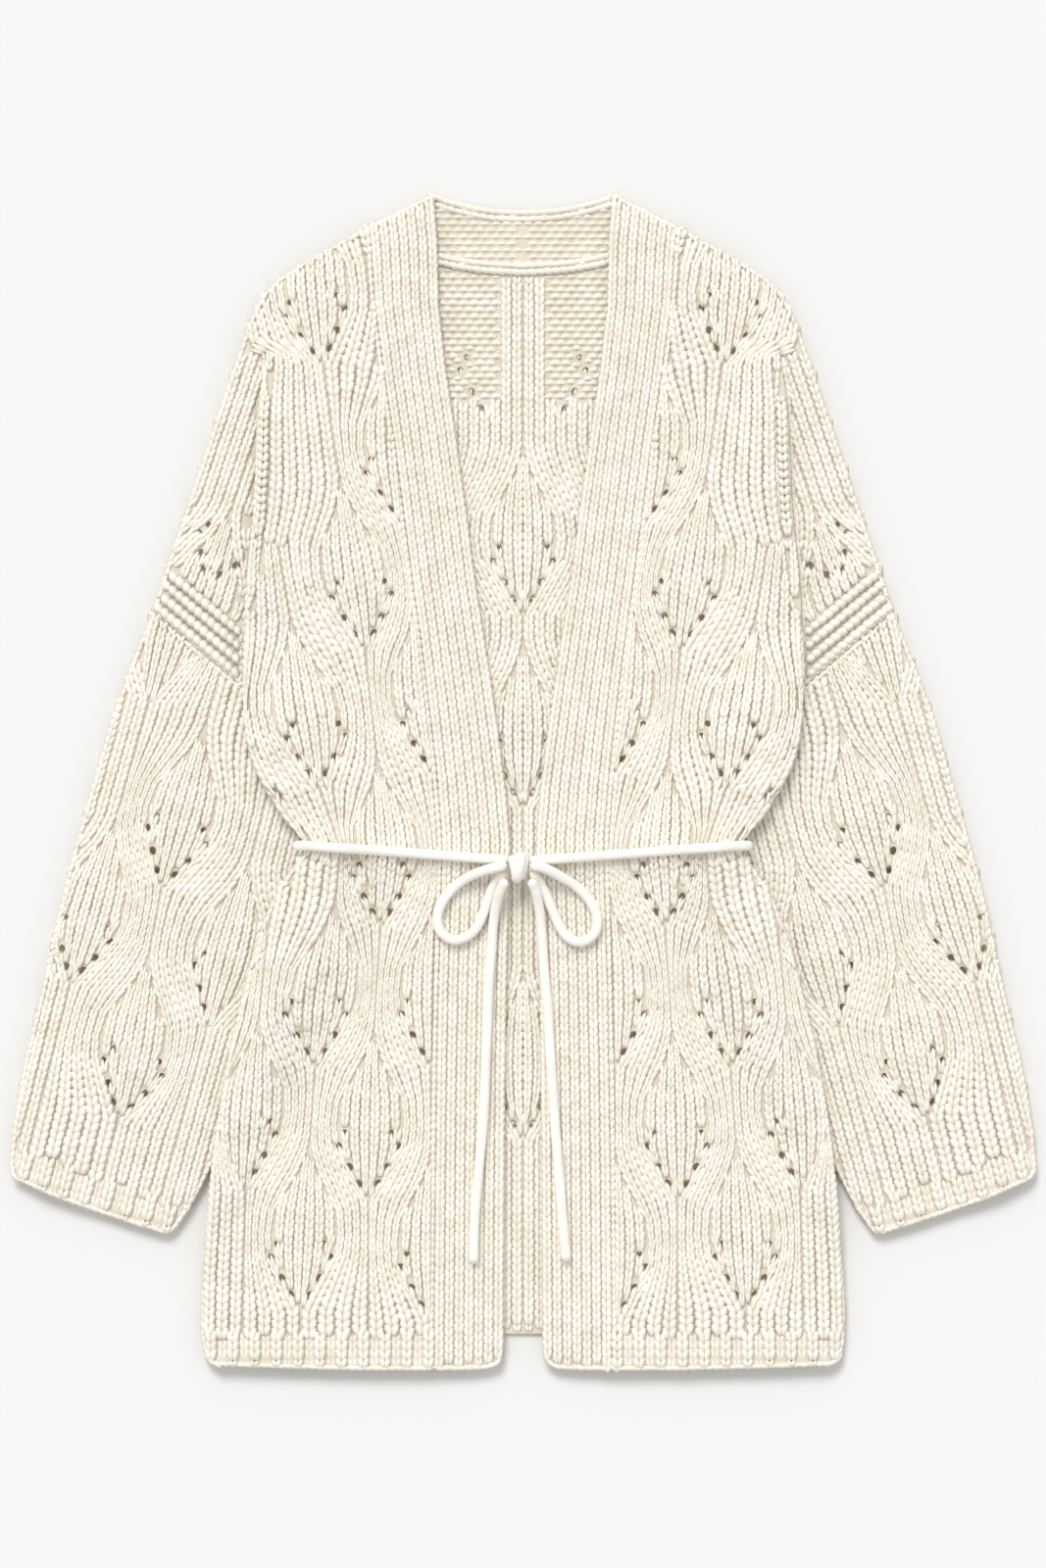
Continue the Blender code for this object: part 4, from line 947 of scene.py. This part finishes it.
# %% Knot
def knot_turn(name, middle, wide, high, deep, lean, thick):
    """One turn of the cord over the front of the knot, seen as an arch from top to bottom."""
    route = []
    for share in np.linspace(-1, 1, 9):
        angle = share * math.radians(112)
        route.append(np.array(middle) + (
            math.sin(angle) * lean + wide, high * math.sin(angle), deep * math.cos(angle),
        ))
    turn, _, _ = knitted_cord(name, metres(route), thick=thick / 1000)
    return turn


turns = [
    knot_turn("turn", KNOT_MIDDLE, 0.2, 8.2, 4.6, 1.6, 8.6),
    knot_turn("turn", KNOT_MIDDLE + (0, 0, -3.0), -3.1, 6.4, 4.2, -1.2, 6.6),
    knot_turn("turn", KNOT_MIDDLE + (0, 0, -3.0), 3.2, 6.4, 4.2, 1.4, 6.6),
]
with bpy.context.temp_override(active_object=turns[0], selected_editable_objects=turns, selected_objects=turns):
    bpy.ops.object.join()
knot = turns[0]
knot.name = "belt_knot_turns"
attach(knot, "root")
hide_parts("belt_knot")
print("knot faces:", len(knot.data.polygons))

# %% [markdown]
# Every panel is the sheet of cloth that a knitter would knit and sew in. Its cloth, outside and stitches are attached
# to the root and its CAD part is hidden; the table gives each panel's flat size.

CUTS = {  # width, length and flat area in metres and square metres
    "back": (0.60, 0.83, 0.35), "front_left": (0.27, 0.84, 0.125), "front_right": (0.27, 0.84, 0.125),
    "band_left": (0.05, 0.87, 0.042), "band_right": (0.05, 0.87, 0.042), "neck_band": (0.23, 0.05, 0.0105),
    "sleeve_left_upper": (0.22, 0.46, 0.067), "sleeve_right_upper": (0.22, 0.46, 0.067),
    "sleeve_left_under": (0.22, 0.46, 0.067), "sleeve_right_under": (0.22, 0.46, 0.067),
}
LIES_ON = {
    "back": ["sleeve_left_upper", "sleeve_right_upper"], "front_left": ["back"], "front_right": ["back"],
    "band_left": ["back"], "band_right": ["back"], "neck_band": [], "sleeve_left_upper": ["sleeve_left_under"],
    "sleeve_right_upper": ["sleeve_right_under"], "sleeve_left_under": [], "sleeve_right_under": [],
}
for node, (wide, long, area) in CUTS.items():
    both = [cloths[name] for name in (node, f"{node}_outside") if name in cloths]
    main = both[0]
    pieces = [*both[1:], *knitting.get(node, ())]
    for piece in (main, *pieces):
        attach(piece, "root")
    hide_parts(node)
    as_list(LIES_ON[node])
print("cloth pieces:", len(CUTS))

# %% [markdown]
# The photo is a product shot from straight above: a pale table, broad soft light and a faint shadow that falls
# towards the hem. A long lens 3.2 m up keeps the garment as flat as it looks there.

# %% Table, light and camera
scene = bpy.context.scene
table = bpy.data.objects.new("table", bpy.data.meshes.new("table"))
table.data.from_pydata([(-4, -4, -0.0004), (4, -4, -0.0004), (4, 4, -0.0004), (-4, 4, -0.0004)], [], [(0, 1, 2, 3)])
paper = bpy.data.materials.new("Matt white paper")
paper.use_nodes = True
paper.node_tree.nodes["Principled BSDF"].inputs["Base Color"].default_value = linear("#ECEBE9")
paper.node_tree.nodes["Principled BSDF"].inputs["Roughness"].default_value = 1.0
table.data.materials.append(paper)
scene.collection.objects.link(table)
world = bpy.data.worlds.new("studio")
world.use_nodes = True
world.node_tree.nodes["Background"].inputs["Color"].default_value = linear("#FEFEFF")
world.node_tree.nodes["Background"].inputs["Strength"].default_value = 0.69
scene.world = world


def daylight(name, toward, strength, spread):
    """Even light from one side, soft as if from a wide window."""
    light = bpy.data.lights.new(name, "SUN")
    light.energy = strength
    light.angle = math.radians(spread)
    made = bpy.data.objects.new(name, light)
    made.rotation_euler = Vector(toward).to_track_quat("-Z", "Y").to_euler()
    scene.collection.objects.link(made)


daylight("light from above the collar", (0.25, -0.85, -1.0), 1.85, 24)
scene.view_settings.view_transform = "Standard"
camera = bpy.data.objects.new("camera", bpy.data.cameras.new("camera"))
camera.data.lens = 100
camera.data.sensor_fit = "VERTICAL"
camera.data.sensor_height = 36
camera.location = (0, -0.0018, 3.2)
scene.collection.objects.link(camera)
scene.camera = camera
